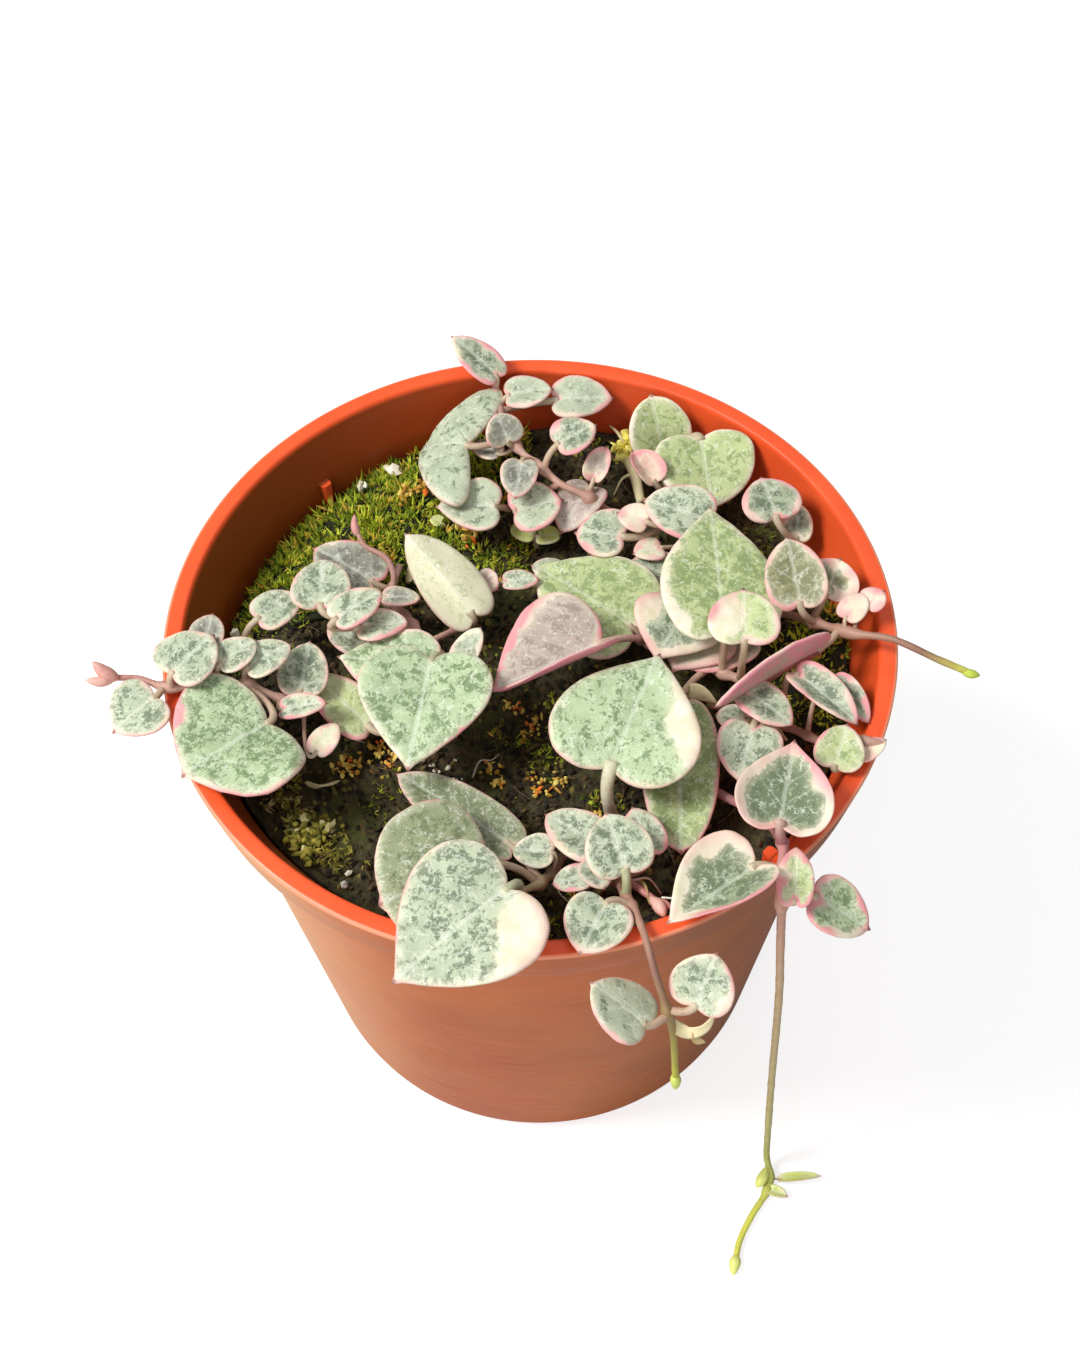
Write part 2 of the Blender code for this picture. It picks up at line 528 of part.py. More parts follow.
def make_centre():
    stem = Stem("stem_centre",
                [(-18.5, 14.5, -5.2), (-19.5, 9, -5.2), (-17, 4.5, -5), (-14, 0, -4), (-10.5, -5.5, -2.5)],
                [(-19.5, 9, -5.2), (-19, 11, -3), (-20, 13, -1.4), (-23, 14.8, -0.8), (-24, 16.5, 0)],
                [(-14, 0, -4), (-9, 4, -5.2), (-6, 8, -4)])
    stem.leaf("leaf_centre_1", (-13, -8, 3), (-16, -23.5, 1), 17.6)
    stem.leaf("leaf_centre_2", (-14, -7.2, -1), (-26, -3.5, -2), 12, hook=0.2, near=(-12.2, -2.8, -3.2))
    stem.leaf("leaf_centre_3", (-10, 1.5, 0.2), (-17, 13, 4.2), 12, folds=(-45, 0))
    stem.leaf("leaf_centre_4", (-22, 10.5, -3.8), (-30.5, 16.5, -3), 9)
    stem.leaf("leaf_centre_5", (-22, -13, -5), (-30, -5, -4), 7.5)
    stem.leaf("leaf_centre_6", (-28.5, 3, 1.2), (-28.5, 11, 1.2), 8.4, rounded=0.5, hook=0.3,
              near=(-17.5, 5.5, -5.1))
    stem.leaf("leaf_centre_7", (-26, 0, 2), (-20, 4, 2.5), 6, joined=True)
    stem.leaf("leaf_centre_8", (-23, 0, 0), (-16.5, 0.5, 0), 5.5, joined=True)
    stem.leaf("leaf_centre_9", (-20, 6.5, -2), (-15, 6, -2), 3.5, joined=True)
    stem.leaf("leaf_centre_10", (-9.5, -7, 1), (-6.5, -2.5, 2.5), 4, joined=True)
    stem.leaf("leaf_centre_11", (-7.5, 9, -2), (-4.3, 6.8, -1.4), 5, joined=True)
    stem.leaf("leaf_centre_12", (-3.2, 8.5, -1.8), (1.6, 8.5, -1.8), 3.5, joined=True)
    stem.leaf("leaf_centre_13", (-23, -1, -3), (-28, 2.5, -3), 5, joined=True)


def make_front():
    stem = Stem("stem_front",
                [(10.5, -27, -7.6), (9.5, -31, -6.5), (9.5, -35.5, -5), (10.5, -39, -3), (12, -44.5, 0.5),
                 (13, -49, 2), (13.8, -52.5, 1), (15.4, -55.8, -4), (16.2, -57, -9), (17, -57.5, -21)])
    stem.leaf("leaf_front_1", (10, -24.5, 2), (17, -9, 4), 19.8)
    stem.leaf("leaf_front_2", (11, -39, 1), (9, -32, 3), 8.6)
    stem.leaf("leaf_front_3", (8.5, -43.5, 1), (5, -50, 1), 8.4)
    stem.leaf("leaf_front_4", (12.4, -57.6, -3), (6.3, -52.8, -1.2), 9.4, folds=(8, -8),
              roll=15, near=(15.4, -55.8, -4))
    stem.leaf("leaf_front_5", (18.6, -55.5, -2.3), (21.4, -50.5, 1), 8)
    stem.leaf("leaf_front_6", (8, -34, -2), (1.5, -28.5, -3), 7, joined=True)
    stem.leaf("leaf_front_7", (14.5, -35, -2), (12.5, -29, -1), 5.6, joined=True)
    stem.leaf("leaf_front_8", (6.5, -37.5, -3), (2, -38, -4), 4, joined=True)
    stem.leaf("leaf_front_9", (7, -36, -2), (8.5, -40, -2), 4.5, joined=True)


def make_front_left():
    stem = Stem("stem_front_left",
                [(4, -31, -7.6), (2.5, -34.5, -6.5), (0, -37.5, -5), (-2.5, -39.5, -3)])
    stem.leaf("leaf_front_left_1", (-3.5, -42.5, 3.8), (-17, -53, 1.2), 20)
    stem.leaf("leaf_front_left_2", (-6.2, -36.8, -0.8), (-19, -42, -0.3), 22, folds=(14, 8), rounded=1.0,
              near=(0.5, -37, -5))
    stem.leaf("leaf_front_left_3", (-3.5, -32, -4), (-18, -20.5, -5), 8, joined=True)
    stem.leaf("leaf_front_left_4", (2, -34, -3), (-3, -33, -4), 5, joined=True)


for old in list(bpy.data.objects):
    bpy.data.objects.remove(old, do_unlink=True)

make_pot()
make_soil()
make_moss("moss_back_left", (92, 168), (20, 41))
make_moss("moss_right", (-20, 8), (34, 41), along=6, across=3)
make_back_left()
make_back_right()
make_middle()
make_right()
make_right_front()
make_trailing()
make_left()
make_centre()
make_front()
make_front_left()
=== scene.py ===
import math

import bmesh
import bpy
import numpy as np
from mathutils import Matrix, Vector, noise


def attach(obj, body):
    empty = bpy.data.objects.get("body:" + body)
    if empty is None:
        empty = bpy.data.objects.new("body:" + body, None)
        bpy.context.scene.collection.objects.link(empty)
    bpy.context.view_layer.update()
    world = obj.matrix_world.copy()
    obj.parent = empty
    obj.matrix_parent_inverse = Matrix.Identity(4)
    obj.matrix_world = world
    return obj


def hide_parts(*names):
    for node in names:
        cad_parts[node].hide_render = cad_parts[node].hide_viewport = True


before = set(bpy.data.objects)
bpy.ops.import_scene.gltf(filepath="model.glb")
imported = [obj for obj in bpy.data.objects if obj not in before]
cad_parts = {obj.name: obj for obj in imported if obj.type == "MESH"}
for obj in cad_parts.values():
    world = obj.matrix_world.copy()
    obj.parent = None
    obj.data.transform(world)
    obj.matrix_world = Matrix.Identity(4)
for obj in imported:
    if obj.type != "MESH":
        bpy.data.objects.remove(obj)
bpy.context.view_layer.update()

# %% [markdown]
# The camera comes first. It looks down into the pot from the front, as someone standing at a
# table does. A constraint could aim it; a place and two turns say the same more plainly.
# %% Camera
LENS_MM = 45.33
CAMERA_PLACE = (0.00126, -0.13692, 0.27942)
FROM_STRAIGHT_DOWN = 34.36
LEANING = -1.71


def add_camera():
    lens = bpy.data.cameras.new("camera")
    lens.lens = LENS_MM
    lens.sensor_width = 36
    lens.clip_start = 0.01
    made = bpy.data.objects.new("camera", lens)
    bpy.context.collection.objects.link(made)
    tilt = Matrix.Rotation(math.radians(FROM_STRAIGHT_DOWN), 4, "X")
    lean = Matrix.Rotation(math.radians(LEANING), 4, "Z")
    made.matrix_world = Matrix.Translation(CAMERA_PLACE) @ (tilt @ lean)
    bpy.context.scene.camera = made
    return made


camera = add_camera()
print("camera at", tuple(round(c, 3) for c in camera.location))

# %% [markdown]
# Sizes below are millimetres on the plant's own plan: x and y from the pot's axis, and h above the
# rim. Blender works in metres, so one helper turns the plan into places.
# %% Sizes and helpers
MM = 0.001
RIM_HEIGHT = 92.0
RIM_RADIUS = 50.0
SOIL_LEVEL = -9.3


def in_metres(points):
    return (np.asarray(points, float) + (0, 0, RIM_HEIGHT)) * MM


def paint(red, green, blue):
    """A colour as a painter reads it, 0 to 255, turned to the linear value that shaders use."""
    return tuple(((c / 255 + 0.055) / 1.055) ** 2.4 if c > 10 else c / 3295
                 for c in (red, green, blue)) + (1,)


def add_piece(name, points, faces, finish, smooth=True):
    """A mesh object whose place is in its mesh."""
    mesh = bpy.data.meshes.new(name)
    mesh.from_pydata(np.asarray(points).tolist(), [], [list(map(int, f)) for f in faces])
    mesh.update()
    for polygon in mesh.polygons:
        polygon.use_smooth = smooth
    if finish:
        mesh.materials.append(finish)
    made = bpy.data.objects.new(name, mesh)
    bpy.context.collection.objects.link(made)
    return made


def face_out(mesh, merge=True):
    """Turns every face outwards, after doubled vertices are merged where asked."""
    work = bmesh.new()
    work.from_mesh(mesh)
    if merge:
        bmesh.ops.remove_doubles(work, verts=work.verts, dist=1e-7)
    bmesh.ops.recalc_face_normals(work, faces=work.faces)
    work.to_mesh(mesh)
    work.free()


def store(mesh, name, kind, values):
    """Writes one value per vertex: FLOAT, FLOAT_VECTOR or FLOAT_COLOR."""
    layer = mesh.attributes.new(name, kind, "POINT")
    field = {"FLOAT": "value", "FLOAT_VECTOR": "vector", "FLOAT_COLOR": "color"}[kind]
    layer.data.foreach_set(field, np.asarray(values, np.float32).ravel())


def curve_through(points, steps):
    """A smooth curve through the points, with some steps between each two."""
    points = np.asarray(points, float)
    padded = np.vstack([2 * points[0] - points[1], points, 2 * points[-1] - points[-2]])
    found = []
    for a, b, c, d in zip(padded, padded[1:], padded[2:], padded[3:]):
        for t in np.arange(steps) / steps:
            found.append(0.5 * (2 * b + (c - a) * t + (2 * a - 5 * b + 4 * c - d) * t * t
                                + (3 * b - a - 3 * c + d) * t ** 3))
    return np.array(found + [points[-1]])


print("rim at", in_metres((RIM_RADIUS, 0, 0)).tolist())

# %% [markdown]
# Every finish here is a node tree. This small class only shortens the spelling: a node is made with
# its settings, and each input is either a plain value or another node's output.
# %% A short way to write nodes
class Nodes:
    def __init__(self, tree):
        self.tree = tree

    def add(self, kind, inputs=None, out=0, **settings):
        made = self.tree.nodes.new(kind)
        for key, value in settings.items():
            setattr(made, key, value)
        for key, value in (inputs or {}).items():
            if isinstance(value, bpy.types.NodeSocket):
                self.tree.links.new(value, made.inputs[key])
            elif value is not None:
                made.inputs[key].default_value = value
        return made.outputs[out] if out is not None else made

    def math(self, operation, a, b=None, clamp=False):
        return self.add("ShaderNodeMath", {0: a, 1: b}, operation=operation, use_clamp=clamp)

    def times(self, a, b, clamp=False):
        return self.math("MULTIPLY", a, b, clamp)

    def plus(self, a, b, clamp=False):
        return self.math("ADD", a, b, clamp)

    def minus(self, a, b):
        return self.math("SUBTRACT", a, b)

    def mix(self, factor, a, b, blend="MIX"):
        return self.add("ShaderNodeMix", {0: factor, 6: a, 7: b}, out=2, data_type="RGBA", blend_type=blend)

    def noise(self, where, scale, detail=2.0, rough=0.5, warp=0.0):
        return self.add("ShaderNodeTexNoise", {"Vector": where, "Scale": scale, "Detail": detail,
                                               "Roughness": rough, "Distortion": warp})

    def step(self, value, low, high, to_low=0.0, to_high=1.0):
        """A soft step: to_low below low, to_high above high."""
        return self.add("ShaderNodeMapRange", {0: value, 1: low, 2: high, 3: to_low, 4: to_high},
                        interpolation_type="SMOOTHSTEP")

    def attribute(self, name, out="Fac"):
        return self.add("ShaderNodeAttribute", out=out, attribute_name=name)

    def split(self, vector):
        return self.add("ShaderNodeSeparateXYZ", {0: vector}, out=None).outputs


def new_material(name):
    made = bpy.data.materials.new(name)
    made.use_nodes = True
    nodes = Nodes(made.node_tree)
    shader = made.node_tree.nodes["Principled BSDF"]
    return made, nodes, shader


def connect(nodes, shader, **links):
    for key, value in links.items():
        socket = shader.inputs[key.replace("_", " ")]
        if isinstance(value, bpy.types.NodeSocket):
            nodes.tree.links.new(value, socket)
        else:
            socket.default_value = value


def bump(nodes, height, distance, strength=1.0, after=None):
    return nodes.add("ShaderNodeBump", {"Height": height, "Distance": distance, "Strength": strength,
                                        "Normal": after})


print("short ways:", ", ".join(key for key in vars(Nodes) if not key.startswith("_")))

# %% [markdown]
# Fine grain is on the plastic and on the stems and stalks alike: a slow drift of tone and a fine relief.
# It is a node group, so each finish sets its own scale.
# %% Node group: fine grain
def build_grain_group():
    group = bpy.data.node_groups.new("fine_grain", "ShaderNodeTree")
    for name, kind in (("Vector", "NodeSocketVector"), ("Scale", "NodeSocketFloat"),
                       ("Contrast", "NodeSocketFloat")):
        group.interface.new_socket(name, in_out="INPUT", socket_type=kind)
    for name in ("Tone", "Relief"):
        group.interface.new_socket(name, in_out="OUTPUT", socket_type="NodeSocketFloat")
    nodes = Nodes(group)
    put_in = nodes.add("NodeGroupInput", out=None).outputs
    put_out = nodes.add("NodeGroupOutput", out=None)
    slow = nodes.noise(put_in["Vector"], put_in["Scale"], 4, 0.6)
    fine_scale = nodes.times(put_in["Scale"], 9.0)
    fine = nodes.noise(put_in["Vector"], fine_scale, 3, 0.65)
    centred = nodes.minus(slow, 0.5)
    tone = nodes.plus(nodes.times(centred, put_in["Contrast"]), 0.5)
    group.links.new(tone, put_out.inputs["Tone"])
    group.links.new(nodes.plus(nodes.times(slow, 0.4), fine), put_out.inputs["Relief"])
    return group


FINE_GRAIN = build_grain_group()


def grain(nodes, where, scale, contrast):
    made = nodes.add("ShaderNodeGroup", out=None, node_tree=FINE_GRAIN)
    nodes.tree.links.new(where, made.inputs["Vector"])
    made.inputs["Scale"].default_value = scale
    made.inputs["Contrast"].default_value = contrast
    return made.outputs["Tone"], made.outputs["Relief"]


print("group:", FINE_GRAIN.name)

# %% [markdown]
# ## The pot
# A real one is injection moulded: one thin wall, turned about an axis, with a deep band at the lip.
# A Screw modifier could turn it. Rings of points were chosen instead, because the profile can then
# carry each small radius that a mould has. Those soft edges are what catch the light.
# %% Pot profile
BASE_RADIUS = 38.0
WALL_TOP = -7.8
WALL_TOP_RADIUS = 46.0
BAND_FOOT_RADIUS = 48.8
FLOOR_TOP = -90.1
UNDERSIDE = -RIM_HEIGHT
RAISED_RING = UNDERSIDE + 0.6


def rounded(corners, steps=3):
    """A profile from (r, h, radius) corners: each corner with a radius becomes a small arc."""
    path = []
    for i, (r, h, radius) in enumerate(corners):
        here = np.array((r, h))
        if not radius or i in (0, len(corners) - 1):
            path.append(here)
            continue
        before, after = (np.array(corners[j][:2]) - here for j in (i - 1, i + 1))
        before, after = (d / np.linalg.norm(d) * min(radius, 0.45 * np.linalg.norm(d))
                         for d in (before, after))
        for t in np.arange(steps + 1) / steps:
            path.append(here + before * (1 - t) ** 2 + after * t ** 2)
    return path


pot_profile = rounded([
    (0, UNDERSIDE, 0), (30, UNDERSIDE, 0), (31, RAISED_RING, 0.3), (32.5, RAISED_RING, 0.3),
    (33.5, UNDERSIDE, 0.3), (BASE_RADIUS, UNDERSIDE, 3.5), (WALL_TOP_RADIUS, WALL_TOP, 0),
    (46.2, -4.8, 0.3), (47.8, -4.4, 0.4), (47.7, WALL_TOP, 0.2), (BAND_FOOT_RADIUS, WALL_TOP, 0.3),
    (RIM_RADIUS, 0, 0.55), (47.5, 0, 0.45), (47.1, -1.4, 0.2), (44.8, WALL_TOP, 0.8), (36.9, -86, 0),
    (36.6, FLOOR_TOP, 3.0), (0, FLOOR_TOP, 0)])
print("profile points:", len(pot_profile))

# %% [markdown]
# The profile is repeated round the axis. Two neighbouring rings are joined by a strip of quads, and
# a fan closes the middle of the floor, above and below.
# %% Pot wall
POT_SIDES = 224


def strip(low, high, sides):
    """Quads between two rings of points, from the numbers of their first points."""
    return [(low + i, low + (i + 1) % sides, high + (i + 1) % sides, high + i) for i in range(sides)]


def spin_pot():
    angles = np.arange(POT_SIDES) * math.tau / POT_SIDES
    rings = [(r, h) for r, h in pot_profile if r > 0]
    points = [(0, 0, pot_profile[0][1])]
    for r, h in rings:
        points += [(r * math.cos(a), r * math.sin(a), h) for a in angles]
    points.append((0, 0, pot_profile[-1][1]))
    faces = [(0, 1 + (i + 1) % POT_SIDES, 1 + i) for i in range(POT_SIDES)]
    for k in range(len(rings) - 1):
        faces += strip(1 + k * POT_SIDES, 1 + (k + 1) * POT_SIDES, POT_SIDES)
    last = 1 + (len(rings) - 1) * POT_SIDES
    faces += [(last + i, last + (i + 1) % POT_SIDES, len(points) - 1) for i in range(POT_SIDES)]
    body = add_piece("nursery_pot", in_metres(points), faces, None)
    face_out(body.data)
    return body


pot = spin_pot()
print("wall faces:", len(pot.data.polygons))

# %% [markdown]
# Four holes drain it, and two lugs inside keep stacked pots from sticking. Both are straight prisms:
# Boolean modifiers take the holes away and add the lugs, and then the result is kept as a mesh.
# %% Drainage holes and stacking lugs
HOLE_CIRCLE = 24
HOLE_RADIUS = 4
HOLE_SIDES = 40
HOLE_HEIGHTS = (-93, -88)
LUG_TURNS = (133, 313)
LUG_OUTLINE = ((45.3, -0.9), (44.0, -0.8), (43.7, -0.5), (43.7, 0.5), (44.0, 0.8), (45.3, 0.9))
LUG_HEIGHTS = (-11.4, -7.4)
SHARP_ANGLE = 38


def outward(degrees):
    """The direction away from the axis at a turn, and the one across it."""
    a = math.radians(degrees)
    return np.array((math.cos(a), math.sin(a))), np.array((-math.sin(a), math.cos(a)))


def straight_prism(name, outline, low, high):
    """A closed prism on an outline of (x, y) points, between two heights."""
    n = len(outline)
    points = [(x, y, low) for x, y in outline] + [(x, y, high) for x, y in outline]
    faces = strip(0, n, n) + [tuple(range(n)), tuple(range(2 * n - 1, n - 1, -1))]
    made = add_piece(name, in_metres(points), faces, None, smooth=False)
    face_out(made.data)
    return made


def drainage_hole(degrees):
    centre = HOLE_CIRCLE * outward(degrees)[0]
    turns = np.arange(HOLE_SIDES) * 360 / HOLE_SIDES
    return straight_prism(f"hole_{degrees}", [centre + HOLE_RADIUS * outward(b)[0] for b in turns],
                          *HOLE_HEIGHTS)


def stacking_lug(degrees):
    out, across = outward(degrees)
    return straight_prism(f"lug_{degrees}", [out * r + across * w for r, w in LUG_OUTLINE], *LUG_HEIGHTS)


def make_plain(made, *helpers):
    """Applies the modifiers by taking the evaluated mesh, then removes the helpers."""
    graph = bpy.context.evaluated_depsgraph_get()
    graph.update()
    mesh = bpy.data.meshes.new_from_object(made.evaluated_get(graph), depsgraph=graph)
    made.modifiers.clear()
    made.data = mesh
    for helper in helpers:
        bpy.data.objects.remove(helper)
    return made


def finish_pot(body):
    holes = [(drainage_hole(45 + 90 * quarter), "DIFFERENCE") for quarter in range(4)]
    lugs = [(stacking_lug(degrees), "UNION") for degrees in LUG_TURNS]
    for helper, operation in holes + lugs:
        step = body.modifiers.new(operation, "BOOLEAN")
        step.operation = operation
        step.solver = "EXACT"
        step.object = helper
    make_plain(body, *(helper for helper, _ in holes + lugs))
    body.data.shade_smooth()
    body.data.set_sharp_from_angle(angle=math.radians(SHARP_ANGLE))


finish_pot(pot)
print("pot faces:", len(pot.data.polygons))

# %% [markdown]
# The plastic is a strong orange-red. Its lip keeps that colour; the outer wall under it is painted a
# duller, browner orange, with painted sheen to the left and painted shade to the right, and the inside
# carries painted shade, darker to the left. A painted texture could hold this.
# Masks worked out from the place on the pot were chosen, because they stay sharp at any distance.
# %% Pot plastic: masks
def wall_middle(nodes, z):
    """The radius half way through the wall at each height; what lies beyond it is outside."""
    wall = nodes.plus(nodes.times(z, 0.095), 0.0374)
    band = nodes.plus(nodes.times(nodes.minus(z, 0.0842), 0.37), 0.0454)
    return nodes.math("MAXIMUM", wall, band)


def dull_wall_sheen_and_shade(nodes, x, tone):
    """The duller outer wall, with a painted sheen that makes it paler to the left and painted shade that
    makes it browner to the right.
    """
    dull = nodes.mix(tone, paint(166, 82, 22), paint(198, 110, 40))
    # Painted sheen: the wall is paler to the left.
    dull = nodes.mix(nodes.step(x, -0.047, -0.014, 0.80, 0.0), dull, paint(248, 196, 140))
    # Painted shade: the wall is browner to the right.
    return nodes.mix(nodes.step(x, 0.0, 0.036, 0.0, 0.60), dull, paint(128, 84, 44))


# The outer wall below the lip, where it is painted duller than the lip.
def dull_wall_mask(nodes, where, height, outside):
    below_lip = nodes.step(height, 91.55, 91.8, 1.0, 0.0)
    patchy = nodes.step(nodes.noise(where, 35.0, 5, 0.65), 0.25, 0.75, 0.80, 1.0)
    return nodes.times(nodes.times(below_lip, outside), patchy)


def inner_shade_mask(nodes, x, y, height, depth, outside):
    """Painted shade inside and below the rim, but not on the lugs, and stronger to the left, where the inner
    wall faces away from the light.
    """
    inside = nodes.times(nodes.minus(1.0, outside), nodes.step(height, 91.0, 91.7, 1.0, 0.0))
    inside = nodes.times(inside, nodes.step(nodes.minus(depth, 0.0009), 0.0002, 0.0004, 1.0, 0.0))
    leftward = nodes.step(nodes.plus(x, nodes.times(y, -0.10)), -0.044, 0.034, 0.90, 0.16)
    return nodes.times(inside, leftward)


def dash_mask(nodes, where, dull_wall):
    """Stacking marks: a few short dark dashes, where a broad noise allows them."""
    squeezed = nodes.add("ShaderNodeMapping", {"Vector": where, "Scale": (1, 1, 5)})
    dashes = nodes.step(nodes.noise(squeezed, 190.0, 1, 0.4), 0.74, 0.78)
    region = nodes.step(nodes.noise(where, 42.0, 0, 0.5), 0.60, 0.66)
    return nodes.times(nodes.times(dashes, region), nodes.times(dull_wall, 0.8))


print("masks: film, damp and dashes")

# %% [markdown]
# The masks then lay one colour over another, as a painter glazes: clean plastic, the duller outer
# wall with its painted sheen and shade, a painted highlight along the lip's outer edge, painted shade
# inside, and dashes. Fine scratches that run round the wall change its gloss.
# %% Pot plastic: colour and gloss
def make_plastic():
    made, nodes, shader = new_material("orange_pot_plastic")
    where = nodes.add("ShaderNodeTexCoord", out="Object")
    x, y, z = nodes.split(where)
    radius = nodes.math("SQRT", nodes.plus(nodes.times(x, x), nodes.times(y, y)))
    height = nodes.times(z, 1000.0)
    middle = wall_middle(nodes, z)
    outside = nodes.math("GREATER_THAN", radius, middle)
    tone, relief = grain(nodes, where, 60.0, 1.4)
    clean = nodes.mix(tone, paint(234, 76, 30), paint(252, 104, 54))
    # The outer wall below the lip is painted duller than the lip; its colour carries a painted sheen to the
    # left and painted shade to the right.
    dull_wall = dull_wall_mask(nodes, where, height, outside)
    colour = nodes.mix(dull_wall, clean, dull_wall_sheen_and_shade(nodes, x, tone))
    # Painted highlight: a pale line along the lip's outer edge.
    edge_highlight = nodes.times(nodes.step(height, 91.35, 91.6), nodes.step(radius, 0.0494, 0.0497))
    colour = nodes.mix(nodes.times(edge_highlight, 0.45), colour, paint(255, 196, 160))
    # Painted shade on the inner wall, stronger to the left.
    inner_shade = inner_shade_mask(nodes, x, y, height, nodes.minus(middle, radius), outside)
    colour = nodes.mix(inner_shade, colour, paint(120, 56, 18))
    colour = nodes.mix(dash_mask(nodes, where, dull_wall), colour, paint(58, 44, 34))
    stretched = nodes.add("ShaderNodeMapping", {"Vector": where, "Scale": (1, 1, 30)})
    scratches = nodes.noise(stretched, 90.0, 3, 0.6)
    normal = bump(nodes, relief, 0.00006, 0.35)
    normal = bump(nodes, scratches, 0.00008, 0.15, normal)
    connect(nodes, shader, Base_Color=colour, Roughness=nodes.step(scratches, 0.3, 0.8, 0.34, 0.52),
            Normal=normal, Metallic=0.0, IOR=1.48, Specular_IOR_Level=0.35)
    return made


pot.data.materials.clear()
pot.data.materials.append(make_plastic())
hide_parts("pot")
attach(pot, "root")
print("plastic on the pot:", pot.data.materials[0].name)

# %% [markdown]
# ## Soil
# Damp peat and fine bark, pressed flat by watering. A displaced plane could show it; a round grid
# pushed up and down by fractal noise was chosen, because it runs down the sides and fills the pot.
# %% Soil bed
SUNK_TURN = 143
SUNK_BY = 4.2
SUNK_FROM = 31
SOIL_EDGE = 44.25
SOIL_BOTTOM = -89.6
SOIL_SIDE = ((43.2, -19.0), (36.8, -84.0), (33.0, SOIL_BOTTOM))


def soil_height(x, y):
    """The soil's level: gently uneven, and sunk a little along the wall at the back left."""
    turn = math.remainder(math.atan2(y, x) - math.radians(SUNK_TURN), math.tau)
    sunk = max(0, (math.hypot(x, y) - SUNK_FROM) / 13) ** 1.6 * math.cos(min(abs(1.5 * turn), math.pi / 2))
    return SOIL_LEVEL + 0.4 * math.sin(x / 7.5 + 1.0) * math.cos(y / 9.0) - SUNK_BY * sunk


def soil_relief(x, y):
    where = Vector((x, y, 3.0))
    lumps = noise.fractal(where * 0.22, 0.7, 2.1, 4)
    grit = noise.fractal(where * 1.1, 0.6, 2.2, 3)
    return 0.85 * lumps + 0.28 * grit


def build_soil(rings=110, sides=260):
    angles = np.arange(sides) * math.tau / sides
    points = [(0, 0, soil_height(0, 0))]
    for k in range(1, rings + 1):
        r = SOIL_EDGE * k / rings
        creeping_up = 0.27 * max(0, (r - 42.0) / 2.3) ** 2
        for a in angles:
            x, y = r * math.cos(a), r * math.sin(a)
            points.append((x, y, soil_height(x, y) + soil_relief(x, y) + creeping_up))
    for r, h in SOIL_SIDE:
        points += [(r * math.cos(a), r * math.sin(a), h) for a in angles]
    points.append((0, 0, SOIL_BOTTOM))
    faces = [(0, 1 + i, 1 + (i + 1) % sides) for i in range(sides)]
    for k in range(rings + len(SOIL_SIDE) - 1):
        low, high = 1 + k * sides, 1 + (k + 1) * sides
        faces += [(low + i, high + i, high + (i + 1) % sides, low + (i + 1) % sides) for i in range(sides)]
    last = len(points) - 1 - sides
    faces += [(last + i, len(points) - 1, last + (i + 1) % sides) for i in range(sides)]
    return add_piece("soil_bed", in_metres(points), faces, None)


soil = build_soil()
print("soil faces:", len(soil.data.polygons))

# %% [markdown]
# Wet peat is nearly black, with paler grit and a green bloom of algae. The colour is three noises
# laid over one another, and small cells in the bump give the crumbly surface.
# %% Soil finish
def make_soil_finish():
    made, nodes, shader = new_material("damp_peat")
    where = nodes.add("ShaderNodeTexCoord", out="Object")
    big = nodes.noise(where, 120.0, 5, 0.65)
    fine = nodes.noise(where, 900.0, 4, 0.7)
    colour = nodes.mix(nodes.step(fine, 0.3, 0.7), paint(24, 22, 10), paint(80, 72, 34))
    colour = nodes.mix(nodes.step(big, 0.5, 0.7, 0.0, 0.7), colour, paint(54, 56, 24))
    algae = nodes.step(nodes.noise(where, 70.0, 3, 0.5), 0.52, 0.66, 0.0, 0.55)
    colour = nodes.mix(algae, colour, paint(84, 90, 32))
    cells = nodes.add("ShaderNodeTexVoronoi", {"Vector": where, "Scale": 700.0}, out="Distance")
    normal = bump(nodes, cells, 0.0006, 0.8)
    normal = bump(nodes, fine, 0.0005, 0.8, normal)
    connect(nodes, shader, Base_Color=colour, Roughness=nodes.step(big, 0.3, 0.7, 0.75, 0.95), Normal=normal)
    return made


soil.data.materials.append(make_soil_finish())
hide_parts("soil")
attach(soil, "root")
print("peat on the soil:", soil.data.materials[0].name)

# %% [markdown]
# ## Leaves
# String of hearts has thick little leaves, heart shaped and waxy, each on its own stalk. They could
# be sculpted one by one, but every leaf follows the same rule: an outline measured along the midrib
# and out from it, domed between its two faces. So one function builds them all, and a table says
# where each leaf begins and ends, how wide it is and how it is marked.
# %% The leaf's outline
POINTED_HALF = np.array(((0, 0), (-0.07, 0.16), (-0.10, 0.46), (-0.02, 0.80), (0.18, 1.0), (0.42, 0.95),
                         (0.64, 0.70), (0.84, 0.34), (1, 0)))
ROUNDED_HALF = np.array(((0, 0), (-0.06, 0.16), (-0.08, 0.46), (0.0, 0.80), (0.20, 1.0), (0.48, 1.0),
                         (0.74, 0.82), (0.93, 0.46), (1, 0)))
LEAF_CENTRE = np.array((0.38, 0.0))
LEAF_SIDES = 64


def leaf_outline(rounded_share, rng, swept=0.0):
    """64 points round the leaf, from the notch, down its left side to the tip and back."""
    half = POINTED_HALF * (1 - rounded_share) + ROUNDED_HALF * rounded_share
    smooth = curve_through(half, 4)
    phase = rng.uniform(0, math.tau, 4)
    t = np.linspace(0, 1, len(smooth))
    sides = []
    for side in (1, -1):
        waves = 0.022 * np.sin(5 * t + phase[side]) + 0.012 * np.sin(13 * t + phase[side + 2])
        wobble = 1 + np.sin(math.pi * t) * waves
        sides.append(smooth * np.column_stack([np.ones_like(t), side * wobble]))
    outline = np.vstack([sides[0], sides[1][-2:0:-1]])
    outline[:, 1][np.abs(outline[:, 1]) < 1e-9] = 0
    outline[:, 0] -= swept * np.abs(outline[:, 1]) ** 1.3
    return outline


